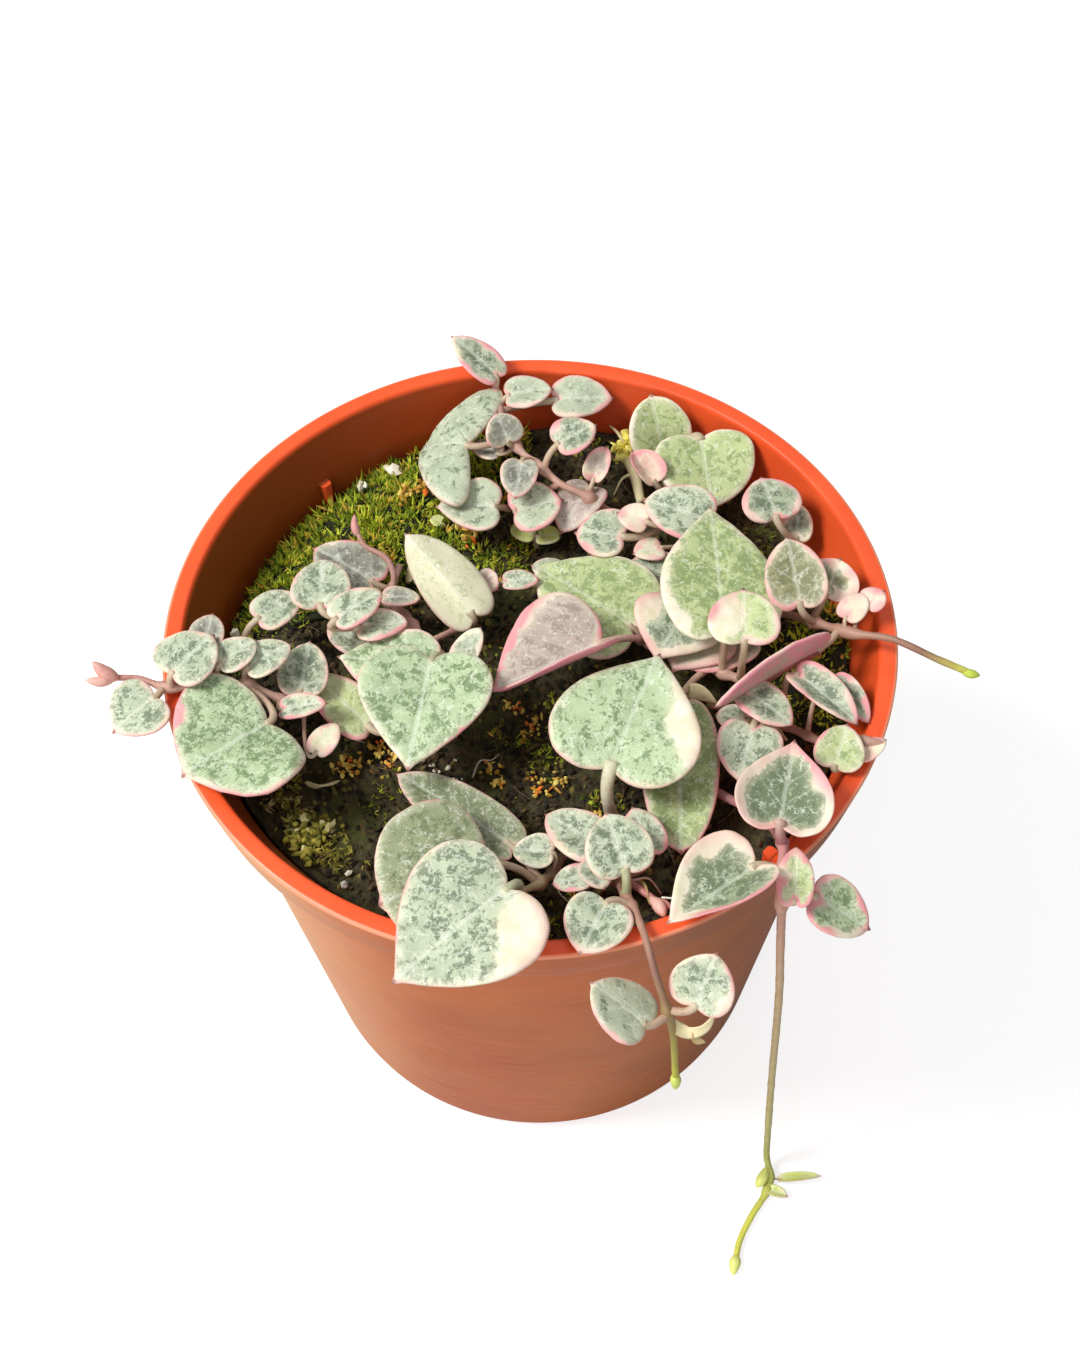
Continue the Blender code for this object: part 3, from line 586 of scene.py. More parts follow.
print("outline points:", len(leaf_outline(0.0, np.random.default_rng(1))))

# %% [markdown]
# A leaf is laid in the air by its base and tip. It is rolled about its midrib, bent along it like a
# bow, and its two halves are folded up or down. This is arithmetic on the flat points, because bones
# or lattices for eighty leaves would be slow to set.
# %% Laying a leaf
def leaf_axes(base, tip, roll):
    length = np.linalg.norm(tip - base)
    along = (tip - base) / length
    up = np.array((0, 0, 1.0)) - along[2] * along
    up /= np.linalg.norm(up)
    left = np.cross(up, along)
    turn = math.radians(roll)
    return (along, left * math.cos(turn) + up * math.sin(turn),
            up * math.cos(turn) - left * math.sin(turn), length)


def lay_leaf(shape, flat):
    """Where flat leaf points (u along, v out in half widths) lie, and which way is up there."""
    base, tip, width, roll, folds, bend = shape
    along, left, up, length = leaf_axes(base, tip, roll)
    u, v = flat[:, :1], flat[:, 1:2]
    half = math.radians(bend) / 2
    turn = 2 * half * (u - 0.5)
    bow = length / (2 * math.sin(half))
    forward = length / 2 + bow * np.sin(turn)
    rise = bow * (np.cos(turn) - math.cos(half))
    out = v * width / 2
    fold = np.where(out >= 0, math.radians(folds[0]), math.radians(folds[1]))
    soft = 0.06 * width
    lift = (np.hypot(out, soft) - soft) * np.sin(fold)
    normal = up * np.cos(turn) + along * np.sin(turn)
    place = base + along * forward + up * rise + left * out * np.cos(fold) + normal * lift
    return place, normal


level = lay_leaf((np.zeros(3), np.array((10.0, 0, 0)), 8, 0, (8, 8), 10), np.array([(0, 0), (0.5, 1)]))[0]
print("notch and widest place of a level leaf:", level.round(2).tolist())

# %% [markdown]
# The leaf is fat inside and thin at its rim. A plane with a Solidify modifier would be a board with
# square edges. Here two skins lie on one flat set of points and share the rim, and a point's distance
# from the outline says how far apart they are. Blisters, a cup and curled corners lift both skins.
# %% Thickness and lift
LEAF_REACH = np.array((0.0, 0.2, 0.38, 0.53, 0.66, 0.77, 0.86, 0.925, 0.97, 0.99, 1.0))
BROAD_LEAF = 20.0
HALF_THICKNESS = 0.62
BLISTER = 0.26


def edge_distance(flat_mm, outline_mm):
    after = np.roll(outline_mm, -1, axis=0)
    span = after - outline_mm
    reach = flat_mm[:, None] - outline_mm[None]
    t = np.clip((reach * span).sum(2) / (span * span).sum(1), 0, 1)
    return np.linalg.norm(reach - t[..., None] * span[None], axis=2).min(1)


def leaf_fat(flat_mm, inside, width):
    """How far the upper and the lower skin are from the middle, with the midrib's groove."""
    half_thick = HALF_THICKNESS * math.sqrt(width / BROAD_LEAF)
    dome = half_thick * (1 - np.clip(1 - inside / (half_thick * 1.7), 0, 1) ** 2) ** 0.5
    groove = np.exp(-(flat_mm[:, 1] / (0.03 * width + 0.12)) ** 2) * np.clip(inside / 1.2, 0, 1)
    return dome - 0.32 * half_thick * groove, dome + 0.10 * groove


def leaf_lift(flat_mm, reach, scale, cup, curl, rng):
    shift = Vector(rng.uniform(-50, 50, 3))
    lift = np.array([noise.fractal(Vector((a / 3.4, b / 3.4, 0)) + shift, 0.6, 2.0, 3) for a, b in flat_mm])
    width = 2 * scale[1]
    lift *= BLISTER * math.sqrt(width / BROAD_LEAF) * np.clip(reach, 0.25, 1)
    lift += cup * width * np.clip((reach - 0.45) / 0.55, 0, 1) ** 2
    for u, v, size, rise in curl:
        lift += rise * np.exp(-(((flat_mm - np.array((u, v)) * scale) / size) ** 2).sum(1))
    return lift


def blade_faces(count):
    """Both skins: fans at the centre, then strips out to the outline's points, which they share."""
    faces = []
    strips = len(LEAF_REACH) - 2
    for i in range(LEAF_SIDES):
        j = (i + 1) % LEAF_SIDES
        faces += [(0, 1 + j, 1 + i), (count, count + 1 + i, count + 1 + j)]
        for k in range(strips):
            low, high = 1 + k * LEAF_SIDES, 1 + (k + 1) * LEAF_SIDES
            faces.append((low + i, low + j, high + j, high + i))
            below = high + count if k < strips - 1 else high
            faces.append((low + j + count, low + i + count, below + i, below + j))
    return faces


print("rings in a leaf:", len(LEAF_REACH) - 1, "thickness of a broad one:", 2 * HALF_THICKNESS, "mm")

# %% [markdown]
# Variegated leaves have a pale margin that wanders, whole patches without green, and a pink blush
# where light was strong. Each vertex keeps how far it is inside the margin and how pink it is, so
# that one material can serve every leaf.
# %% Margin and blush
LOOKS = {
    # between the blotches, the blotches, share of blotches, pale margin in mm, pink 0 to 1
    "silver": ((192, 202, 172), (98, 114, 88), 0.50, 0.36, 0.34),
    "mint": ((188, 206, 164), (104, 128, 84), 0.46, 0.22, 0.28),
    "grey": ((170, 180, 150), (96, 110, 86), 0.55, 0.40, 0.50),
    "deep": ((156, 164, 126), (106, 118, 82), 0.60, 0.35, 0.55),
    "bronze": ((166, 164, 122), (122, 126, 88), 0.62, 0.60, 0.55),
    "edged": ((168, 180, 146), (102, 118, 86), 0.62, 1.50, 0.55),
    "olive": ((194, 206, 146), (134, 154, 96), 0.44, 0.55, 0.30),
    "mauve": ((196, 178, 166), (158, 140, 130), 0.45, 0.60, 0.85),
    "dark": ((152, 154, 138), (112, 110, 98), 0.50, 0.35, 0.60),
    "cream": ((226, 222, 190), (190, 196, 150), 0.30, 2.50, 0.45),
    "pink": ((214, 178, 160), (196, 146, 140), 0.35, 2.50, 0.85),
    "young": ((220, 230, 124), (170, 196, 76), 0.30, 0.20, 0.20),
}


def round_noise(turns, spread, layer):
    """Noise that closes on itself round the leaf."""
    return np.array([noise.noise(Vector((math.cos(a) * spread, math.sin(a) * spread, layer))) for a in turns])


def leaf_margin(flat_mm, inside, turns, scale, number, width, patches):
    margin = width * (1 + 1.1 * round_noise(turns, 1.7, number * 3.1)) - inside
    for u, v, size in patches:
        margin = np.maximum(margin, size - np.linalg.norm(flat_mm - np.array((u, v)) * scale, axis=1))
    return margin


def leaf_blush(flat_mm, turns, scale, number, pink, blush):
    redness = pink * (0.85 + 1.3 * round_noise(turns, 1.0, number * 5.3))
    for u, v, size in blush:
        away = np.linalg.norm(flat_mm - np.array((u, v)) * scale, axis=1)
        redness += 1.2 * np.exp(-(away / size) ** 2)
    return redness


print("looks:", ", ".join(LOOKS))

# %% [markdown]
# The stalk leaves the notch backwards and turns to its joint on the stem. It is a tube swept along a
# short curve. A bevelled curve object would do too, but a mesh can join the leaf's own mesh at once.
# %% Stalk
STALK_STEPS = 15
STALK_SIDES = 8
STALK_GREEN = (206, 212, 178)


def sweep(path, radii, hint, sides=8):
    """A closed tube round a path, in a turning frame that doesn't twist."""
    ahead = np.gradient(path, axis=0)
    ahead /= np.linalg.norm(ahead, axis=1)[:, None]
    side = np.array(hint, float)
    points, faces = [], []
    for spot, forward, radius in zip(path, ahead, radii):
        side = side - forward * (side @ forward)
        side /= np.linalg.norm(side)
        across = np.cross(forward, side)
        points += [spot + radius * (math.cos(a) * side + math.sin(a) * across)
                   for a in np.arange(sides) * math.tau / sides]
    for k in range(len(path) - 1):
        faces += strip(k * sides, (k + 1) * sides, sides)
    faces += [tuple(range(sides - 1, -1, -1)), tuple(range(len(points) - sides, len(points)))]
    return np.array(points), faces


def leaf_stalk(shape, joint, hook, radius, up, lift):
    behind, ahead, start = lay_leaf(shape, np.array([(-0.05, 0.0), (0.05, 0.0), (0.03, 0.0)]))[0]
    back = (behind - ahead) / np.linalg.norm(behind - ahead)
    start = start + up * lift
    knee = start + back * hook * np.linalg.norm(joint - start)
    t = np.linspace(0, 1, STALK_STEPS)[:, None]
    path = (1 - t) ** 2 * start + 2 * t * (1 - t) * knee + t * t * joint
    radii = radius * (1 + 0.35 * np.exp(-t[:, 0] * 7) + 0.25 * np.exp(-(1 - t[:, 0]) * 9))
    return sweep(path, radii, up, STALK_SIDES)


def stalk_paint(tint):
    """The stalk's colour at each of its points: greener at the leaf, its own tint at the joint."""
    greener = np.repeat(np.linspace(0.55, 0.0, STALK_STEPS), STALK_SIDES)[:, None]
    return np.array(paint(*tint)) * (1 - greener) + np.array(paint(*STALK_GREEN)) * greener


print("points in a stalk:", STALK_STEPS * STALK_SIDES)

# %% [markdown]
# Now one function puts a leaf together. Each vertex also keeps its place on the flat leaf in
# millimetres, so that the marbling bends with the leaf and isn't stretched.
# %% One whole leaf
def make_leaf(number, base, tip, width, joint, look="silver", rounded=0.0, roll=0, folds=(8, 8), bend=10,
              hook=0.45, rim=None, pink=None, spots=None, patches=(), blush=(), cup=0.0, stalk=None,
              stalk_tint=(206, 172, 150), under=(196, 202, 172), curl=(), swept=0.0):
    """Vertices, faces, face finishes and attributes of one leaf with its stalk, in layout mm."""
    rng = np.random.default_rng(900 + number)
    base, tip, joint = (np.array(p, float) for p in (base, tip, joint))
    shape = (base, tip, width, roll, folds, bend)
    length = np.linalg.norm(tip - base)
    scale = np.array((length, width / 2))
    outline = leaf_outline(max(rounded, 0.55) if width < 10 else rounded, rng, swept)
    pale, dark, share, margin_width, pinkness = LOOKS[look]
    rings = [LEAF_CENTRE[None]] + [LEAF_CENTRE + (outline - LEAF_CENTRE) * r for r in LEAF_REACH[1:]]
    reach = np.repeat(LEAF_REACH, [1] + [LEAF_SIDES] * (len(LEAF_REACH) - 1))
    flat = np.vstack(rings)
    flat_mm = flat * scale
    inside = edge_distance(flat_mm, outline * scale)
    turns = np.arctan2(flat_mm[:, 1], flat_mm[:, 0] - LEAF_CENTRE[0] * length)
    count = len(flat)
    rim_start = count - LEAF_SIDES

    place, normal = lay_leaf(shape, flat)
    upper, lower = leaf_fat(flat_mm, inside, width)
    lift = leaf_lift(flat_mm, reach, scale, cup, curl, rng)
    middle = place + normal * lift[:, None]
    top = middle + normal * upper[:, None]
    below = middle - normal * lower[:, None]
    top[rim_start + LEAF_SIDES // 2] += (tip - base) / length * min(0.45, 0.04 * width)
    points = np.vstack([top, below[:rim_start]])
    faces = blade_faces(count)

    def both(values):
        return np.concatenate([values, values[:rim_start]])

    def everywhere(value):
        return np.tile(value, (len(points), 1) if isinstance(value, tuple) else len(points))

    fields = {
        "leaf_mm": both(np.column_stack([flat_mm, np.full(count, number * 17.3)])),
        "margin_mm": both(leaf_margin(flat_mm, inside, turns, scale, number,
                                      margin_width if rim is None else rim, patches)),
        "rim_mm": both(inside),
        "blush": both(leaf_blush(flat_mm, turns, scale, number, pinkness if pink is None else pink, blush)),
        "under": np.repeat((0.0, 0.5, 1.0), (rim_start, LEAF_SIDES, rim_start)),
        "tip_mm": both(np.linalg.norm(flat_mm - (length, 0), axis=1)),
        "spots": everywhere(share if spots is None else spots),
        "pale": everywhere(paint(*pale)), "dark": everywhere(paint(*dark)),
        "below": everywhere(paint(*under))}
    tube, tube_faces = leaf_stalk(shape, joint, hook, stalk or min(0.5, 0.07 * width),
                                  normal[0], lift[rim_start])
    for key, values in fields.items():
        added = stalk_paint(stalk_tint) if key == "pale" else np.repeat(values[:1], len(tube), axis=0)
        fields[key] = np.concatenate([values, added])
    kinds = [0] * len(faces) + [1] * len(tube_faces)
    faces += [tuple(i + len(points) for i in face) for face in tube_faces]
    return np.vstack([points, tube]), faces, kinds, fields


trial = make_leaf(1, (0, 0, 0), (10, 0, 0), 8, (-4, 0, -2))
print("vertices and faces of one leaf:", len(trial[0]), len(trial[1]))

# %% [markdown]
# The marbled skin is painted from the inside out: green ground, ragged darker blotches, pale
# threads like frost, midrib and side veins, then the cream margin and its pink edge.
# All of it reads the place on the flat leaf, so the pattern bends with the leaf.
# %% Node group: marbling
def build_marbling_group():
    group = bpy.data.node_groups.new("leaf_marbling", "ShaderNodeTree")
    for name, kind in (("Leaf mm", "NodeSocketVector"), ("Share", "NodeSocketFloat")):
        group.interface.new_socket(name, in_out="INPUT", socket_type=kind)
    for name in ("Blotches", "Threads", "Ragged", "Relief"):
        group.interface.new_socket(name, in_out="OUTPUT", socket_type="NodeSocketFloat")
    nodes = Nodes(group)
    put_in = nodes.add("NodeGroupInput", out=None).outputs
    put_out = nodes.add("NodeGroupOutput", out=None)
    where = put_in["Leaf mm"]
    broad = nodes.noise(where, 0.62, 6, 0.70, 0.5)
    fine = nodes.noise(where, 2.6, 4, 0.75, 0.5)
    mixed = nodes.plus(nodes.times(broad, 0.66), nodes.times(fine, 0.34))
    level = nodes.minus(1.0, put_in["Share"])
    level = nodes.plus(nodes.times(level, 0.34), 0.335)
    over = nodes.minus(mixed, level)
    blotches = nodes.step(over, -0.004, 0.014)
    drift = nodes.add("ShaderNodeTexNoise", {"Vector": where, "Scale": 1.3, "Detail": 3.0}, out="Color")
    drift = nodes.add("ShaderNodeVectorMath", {0: drift, 1: (0.5, 0.5, 0.5)}, operation="SUBTRACT")
    drift = nodes.add("ShaderNodeVectorMath", {0: drift, "Scale": 2.2}, operation="SCALE")
    drift = nodes.add("ShaderNodeVectorMath", {0: where, 1: drift}, operation="ADD")
    cells = nodes.add("ShaderNodeTexVoronoi", {"Vector": drift, "Scale": 0.75}, out="Distance",
                      feature="DISTANCE_TO_EDGE")
    threads = nodes.step(cells, 0.03, 0.10, 1.0, 0.0)
    broken = nodes.step(nodes.noise(where, 0.9, 4, 0.7), 0.48, 0.60)
    threads = nodes.times(threads, broken)
    group.links.new(blotches, put_out.inputs["Blotches"])
    group.links.new(threads, put_out.inputs["Threads"])
    group.links.new(fine, put_out.inputs["Ragged"])
    group.links.new(nodes.noise(where, 5.0, 4, 0.65), put_out.inputs["Relief"])
    return group


MARBLING = build_marbling_group()
print("group:", MARBLING.name)

# %% [markdown]
# The skin is laid on in the order that the eye finds it: marbled green, then the veins, then the bare
# margin with its blush, and last the plain underside. Each layer is a function that mixes one colour
# over another by a mask. A painted picture would do too, but it blurs when the leaf is seen close.
# %% Leaf skin
CREAM = paint(246, 240, 216)
YELLOWED_CREAM = paint(232, 226, 190)
MARGIN_PINK = paint(232, 158, 160)
EDGE_PINK = paint(222, 166, 156)
UNDER_GREEN = paint(176, 180, 150)
UNDER_PINK = paint(226, 136, 154)
UNDER_RIB = paint(150, 128, 104)
TIP_BROWN = paint(150, 84, 72)
PALE_FROST = (0.86, 0.88, 0.78, 1)
VEIN_GAP = 1.55


def green_layers(nodes, where, marbling, frost):
    """Pale ground, dark blotches that are ragged inside, and frosted threads between them."""
    pale, dark = (nodes.attribute(name, "Color") for name in ("pale", "dark"))
    blotch = nodes.mix(0.78, nodes.mix(nodes.step(marbling["Ragged"], 0.40, 0.62), dark, pale), dark)
    drift = nodes.step(nodes.noise(where, 0.25, 3, 0.6), 0.35, 0.65, 0.0, 0.28)
    colour = nodes.mix(nodes.times(marbling["Blotches"], 0.95), nodes.mix(drift, pale, dark), blotch)
    return nodes.mix(nodes.times(marbling["Threads"], 0.75), colour, frost)


def vein_masks(nodes, where):
    """The midrib, and the side veins that slant off it towards the tip."""
    x, y, _ = nodes.split(where)
    from_rib = nodes.math("ABSOLUTE", y)
    wavy = nodes.times(nodes.minus(nodes.noise(where, 0.8, 2, 0.5), 0.5), 0.5)
    rib = nodes.step(nodes.plus(from_rib, wavy), 0.12, 0.42, 1.0, 0.0)
    slant = nodes.plus(nodes.minus(x, nodes.times(from_rib, 0.85)), nodes.times(wavy, 3.0))
    from_vein = nodes.math("PINGPONG", slant, VEIN_GAP)
    vein = nodes.times(nodes.step(from_vein, 0.0, 0.2, 1.0, 0.0), nodes.step(from_rib, 0.5, 5.0, 0.42, 0.0))
    return rib, vein


def add_margin(nodes, where, colour, ragged, blush):
    """Lays the bare margin over the green, and says how pink each place is."""
    rim = nodes.attribute("rim_mm")
    margin = nodes.plus(nodes.attribute("margin_mm"), nodes.times(nodes.minus(ragged, 0.5), 2.0))
    uneven = nodes.times(nodes.minus(nodes.noise(where, 0.35, 3, 0.6), 0.5), 0.9)
    pinker = nodes.times(nodes.plus(blush, uneven), nodes.step(rim, 0.15, 1.9, 1.0, 0.25), clamp=True)
    cream = nodes.mix(nodes.step(nodes.noise(where, 0.5, 3, 0.6), 0.35, 0.7), CREAM, YELLOWED_CREAM)
    colour = nodes.mix(nodes.step(margin, -1.2, 0.3, 0.0, 0.34), colour, cream)
    colour = nodes.mix(nodes.step(margin, -0.12, 0.30), colour, nodes.mix(pinker, cream, MARGIN_PINK))
    edge_line = nodes.times(nodes.step(rim, 0.05, 0.36, 0.40, 0.0), nodes.plus(blush, 0.15, clamp=True))
    return nodes.mix(edge_line, colour, EDGE_PINK), pinker


def leaf_underside(nodes, ragged, blush, pinker, rib):
    below = nodes.mix(nodes.step(ragged, 0.4, 0.62), nodes.attribute("below", "Color"), UNDER_GREEN)
    reddened = nodes.times(nodes.plus(pinker, nodes.times(blush, 0.35), clamp=True), 0.9)
    return nodes.mix(nodes.times(rib, 0.35), nodes.mix(reddened, below, UNDER_PINK), UNDER_RIB)


def make_leaf_skin():
    made, nodes, shader = new_material("leaf_skin")
    where = nodes.attribute("leaf_mm", "Vector")
    marbling = nodes.add("ShaderNodeGroup", {"Leaf mm": where, "Share": nodes.attribute("spots")}, out=None,
                         node_tree=MARBLING).outputs
    frost = nodes.mix(0.6, nodes.attribute("pale", "Color"), PALE_FROST)
    rib, vein = vein_masks(nodes, where)
    colour = green_layers(nodes, where, marbling, frost)
    colour = nodes.mix(nodes.times(rib, 0.42), colour, frost)
    colour = nodes.mix(vein, colour, frost)
    ragged = nodes.noise(where, 0.7, 5, 0.7, 0.8)
    blush = nodes.attribute("blush")
    colour, pinker = add_margin(nodes, where, colour, ragged, blush)
    colour = nodes.mix(nodes.attribute("under"), colour, leaf_underside(nodes, ragged, blush, pinker, rib))
    colour = nodes.mix(nodes.step(nodes.attribute("tip_mm"), 0.12, 0.5, 0.75, 0.0), colour, TIP_BROWN)
    normal = bump(nodes, marbling["Relief"], 0.0002, 0.35)
    normal = bump(nodes, nodes.plus(rib, vein), 0.00012, 0.4, normal)
    connect(nodes, shader, Base_Color=colour, Normal=normal, Specular_IOR_Level=0.42,
            Roughness=nodes.plus(0.40, nodes.times(marbling["Relief"], 0.22)))
    return made


print("colours of the margin and the underside:", CREAM[:3], UNDER_GREEN[:3])

# %% [markdown]
# Stems and stalks share one skin, with the tint read from the mesh. It is soft brown-pink and
# freckled, and the green shows through.
# %% Stalk and stem skin
STALK_DARKER = paint(228, 214, 206)
FRECKLE_BROWN = paint(132, 92, 78)


def make_stalk_skin(name, tint_from):
    made, nodes, shader = new_material(name)
    where = nodes.add("ShaderNodeTexCoord", out="Object")
    tone, relief = grain(nodes, where, 420.0, 1.8)
    tint = nodes.attribute(tint_from, "Color")
    colour = nodes.mix(tone, nodes.mix(1.0, tint, STALK_DARKER, "MULTIPLY"), tint)
    freckle = nodes.step(nodes.noise(where, 2600.0, 2, 0.6), 0.58, 0.70, 0.0, 0.35)
    colour = nodes.mix(freckle, colour, FRECKLE_BROWN)
    connect(nodes, shader, Base_Color=colour, Roughness=nodes.step(tone, 0.2, 0.8, 0.42, 0.62),
            Normal=bump(nodes, relief, 0.00012, 0.5))
    return made


LEAF_SKIN = make_leaf_skin()
STALK_SKIN = make_stalk_skin("stalk_skin", "pale")
STEM_SKIN = make_stalk_skin("stem_skin", "tint")
print("skins:", LEAF_SKIN.name, STALK_SKIN.name, STEM_SKIN.name)

# %% [markdown]
# ## The plant's plan
# Each stem has one main route and some branches, and its leaves in order. A leaf marked grown is a
# small one that the packed model joins to its stem; new marks the last tiny ones that it leaves out.
# Places are looked at one by one, so a plain table serves better than a rule that grows a plant.
# %% Reading the plan
def leaf(base, tip, width, look="silver", near=None, grown=False, new=False, **more):
    return dict(base=base, tip=tip, width=width, look=look, near=near, grown=grown or new, **more)


BROWN, DUSK, GREENISH, LIME = (186, 146, 126), (206, 168, 152), (190, 180, 136), (224, 230, 96)

PLANT = {}


def add_cluster(name, routes, tints, leaves, thick=0.8):
    """One stem: its routes, its colours from root to tip, its leaves, and how thick it is."""
    PLANT[name] = dict(routes=routes, tints=tints, leaves=leaves, thick=thick)
    print(name, "routes:", len(routes), "leaves:", len(leaves))


print("stem colours:", BROWN, DUSK, GREENISH, LIME)

# %% Plan: back left
add_cluster(
    "back_left", routes=[
        [(15.5, 23.5, -7.6), (12, 23.5, -5), (8.5, 24.5, -2.5), (5, 26, -1.5), (2, 29.5, -1.5),
         (-1, 33, -1.5), (-3, 37.5, -1), (-4, 41, -0.5), (-4.2, 43.5, 0.5)],
        [(5, 26, -1.5), (1, 26, -4.5), (-2.5, 24.5, -5)]],
    tints=[BROWN, DUSK, DUSK], leaves=[
        leaf((-4, 44.5, 2), (-10.5, 50, 5), 6, "grey", rim=0.7, pink=0.9, blush=[(0.3, 1, 2)]),
        leaf((-2.2, 42, 0.2), (4.4, 42.7, 0.6), 6.5, "silver", near=(-3.8, 40, -0.6), pink=0.8, rim=0.5,
             spots=0.3),
        leaf((5, 42, -1), (13.5, 42, -1), 8.5, "silver", pink=0.7, rim=0.6, spots=0.34),
        leaf((-2.5, 33, 0), (-4, 36, 3), 6, "dark", rounded=0.5),
        leaf((5, 30.5, 2), (10.5, 33, 3), 6.8, "grey", rounded=0.5, pink=0.9, rim=0.6,
             patches=[(0.1, 0.8, 1.2)]),
        leaf((-8.5, 32.5, 0), (-15.5, 34.5, -4), 23, "silver", rounded=0.5, folds=(0, 0), bend=50, rim=0.25,
             swept=0.42, pink=0.3, spots=0.40, stalk_tint=(214, 170, 152)),
        leaf((-4.5, 22.2, -2), (-13, 23, -2.5), 10, "silver", hook=0.1, near=(-4, 24.5, -5), pink=0.5,
             spots=0.36),
        leaf((-1.6, 22, -3), (5.2, 23.6, -2.5), 9.5, "silver", hook=0.1, near=(-0.5, 25.3, -5), pink=0.7,
             rim=0.6, spots=0.40),
        leaf((-0.5, 28, 1), (-1.5, 22, 0), 5.6, "dark", rounded=0.5, grown=True),
        leaf((-4, 32.5, -2), (-8, 35.5, -3), 4, "dark", grown=True),
        leaf((10, 27, -2), (12, 31.5, 0), 5, "mauve", folds=(40, 40), grown=True, rim=0.8),
        leaf((9.5, 27, -4), (5, 19.5, -5), 7, "mauve", new=True, bend=40, rim=0.4)])

# %% Plan: back right
add_cluster(
    "back_right", routes=[
        [(26.5, 9, -7.6), (24.5, 15, -6), (23, 20.5, -5.5), (21, 27.5, -5.5), (21, 32, -5.5)]],
    tints=[DUSK, GREENISH, DUSK], leaves=[
        leaf((20.5, 34, -4), (19, 39.5, 2), 9.5, "olive", rounded=0.8, rim=0.45, pink=0.1),
        leaf((26, 33.2, -1), (27.2, 22.4, -4), 15, "olive", rounded=0.7, rim=0.35, pink=0.1, stalk=0.7),
        leaf((25.5, 17, 0), (17, 21, 0), 9, "silver", roll=-10, pink=0.8, rim=0.5),
        leaf((13.5, 16, -2), (7, 17.5, -2.5), 9, "silver", near=(22, 24, -5.5), rim=0.8, pink=0.6),
        leaf((18.5, 26, -2), (15.5, 30, 0), 6.5, "pink", folds=(45, 45), grown=True, rim=1.2, cup=0.08),
        leaf((17, 17.5, -0.6), (13, 19, -0.2), 5.2, "cream", grown=True, pink=0.6),
        leaf((19, 14.6, -3), (15, 13.2, -2.5), 4.4, "cream", grown=True, rim=1.0, pink=0.7),
        leaf((20, 10, -4), (14.5, 13, -4), 7, "grey", grown=True)])

# %% Plan: middle
add_cluster(
    "middle", routes=[
        [(15.5, 2, -7.6), (17, 0, -6), (20, -2.5, -5), (24, -5, -4.5), (28, -7.5, -4), (31, -8, -4)]],
    tints=[DUSK, DUSK], leaves=[
        leaf((9.5, -5, 1), (-5, -11.5, 0), 20, "mauve", folds=(60, 5), rim=0.7, pink=0.75,
             blush=[(0.55, 0.95, 4), (0.85, -0.5, 4), (0.6, -0.9, 4)], under=(232, 150, 160),
             patches=[(0.72, -0.6, 2.0), (0.5, -0.85, 2.1), (0.9, -0.3, 1.6), (0.3, -0.97, 1.6)],
             stalk_tint=(214, 140, 148), cup=0.02),
        leaf((14.2, 1.2, -3.6), (0.8, 12.3, -3.4), 17.5, "olive", rim=0.3, spots=0.5),
        leaf((21.5, 2, -1), (17, -5.5, -2), 13, "silver", rim=1.0, pink=0.5, patches=[(0.3, -0.9, 3.2)]),
        leaf((26, -4, 3), (26, 17.5, 2), 16.5, "olive", folds=(8, -3), hook=0.2, near=(26, -6.3, -4.3),
             rim=0.35, pink=0.15, spots=0.55,
             patches=[(0.02, 0.75, 1.9), (0.12, 0.95, 1.9), (0.24, 1.0, 1.5), (0.37, 1.0, 1.7),
                      (0.50, 0.92, 1.3), (0.62, 0.78, 1.7), (0.76, 0.58, 1.1)]),
        leaf((28, -9, 6.8), (28.5, -1.5, 7.8), 9.6, "olive", rounded=0.5, hook=0.1, near=(28.5, -7.6, -4),
             rim=0.7, pink=0.35, patches=[(0.45, 0.70, 3.6)], blush=[(0.5, 1.0, 1.6)]),
        leaf((19.5, -12.5, -4), (18.5, -34, -4), 10.5, "olive", rounded=1, rim=0.4, pink=0.6, spots=0.6,
             blush=[(0.5, 1, 3)]),
        leaf((30, -1, -4), (22, -6, -4), 7, "mauve", grown=True, rim=0.6),
        leaf((4.5, 11, -4), (0.5, 12, -3), 4.5, "silver", new=True),
        leaf((24, 0.5, -3), (19.5, -6, -4), 12, "cream", new=True, rim=1.4)])

# %% Plan: right, with an end beyond the rim
add_cluster(
    "right", routes=[
        [(30.5, 8, -7.6), (34, 5, -6), (36.5, 2, -3), (40, -2, 0), (43.5, -5, 2), (48, -7.5, 4),
         (53.5, -11, 4), (57.5, -12.5, 3)],
        [(34, 5, -6), (36, 6.5, -5), (38, 11.5, -4), (38.5, 15, -3.5)]],
    tints=[DUSK, BROWN, BROWN, BROWN, (150, 112, 92), LIME], thick=0.85, leaves=[
        leaf((35.3, 16.5, 0.8), (33.8, 23, 1.8), 8.5, "grey", rim=0.7, pink=0.9),
        leaf((36.5, -0.5, 3), (35.5, 8.5, 6), 8.5, "bronze", rim=0.6, pink=0.6, folds=(2, 16)),
        leaf((40.5, 2, 1), (43, 7, 2), 8, "bronze", rounded=0.5, rim=1.3, pink=0.8, cup=0.12),
        leaf((38.5, -7, 2), (24, -16, 2), 8.6, "pink", roll=80, under=(234, 150, 166), pink=0.55),
        leaf((38.7, 15.5, -3), (39, 21.5, -2), 4.5, "grey", grown=True, rim=0.8, pink=0.3),
        leaf((42.5, -3, 3), (45.5, 0.5, 3.5), 4, "cream", grown=True, pink=0.5),
        leaf((45.5, -1, 3), (48, 0.5, 4), 4, "pink", grown=True)])

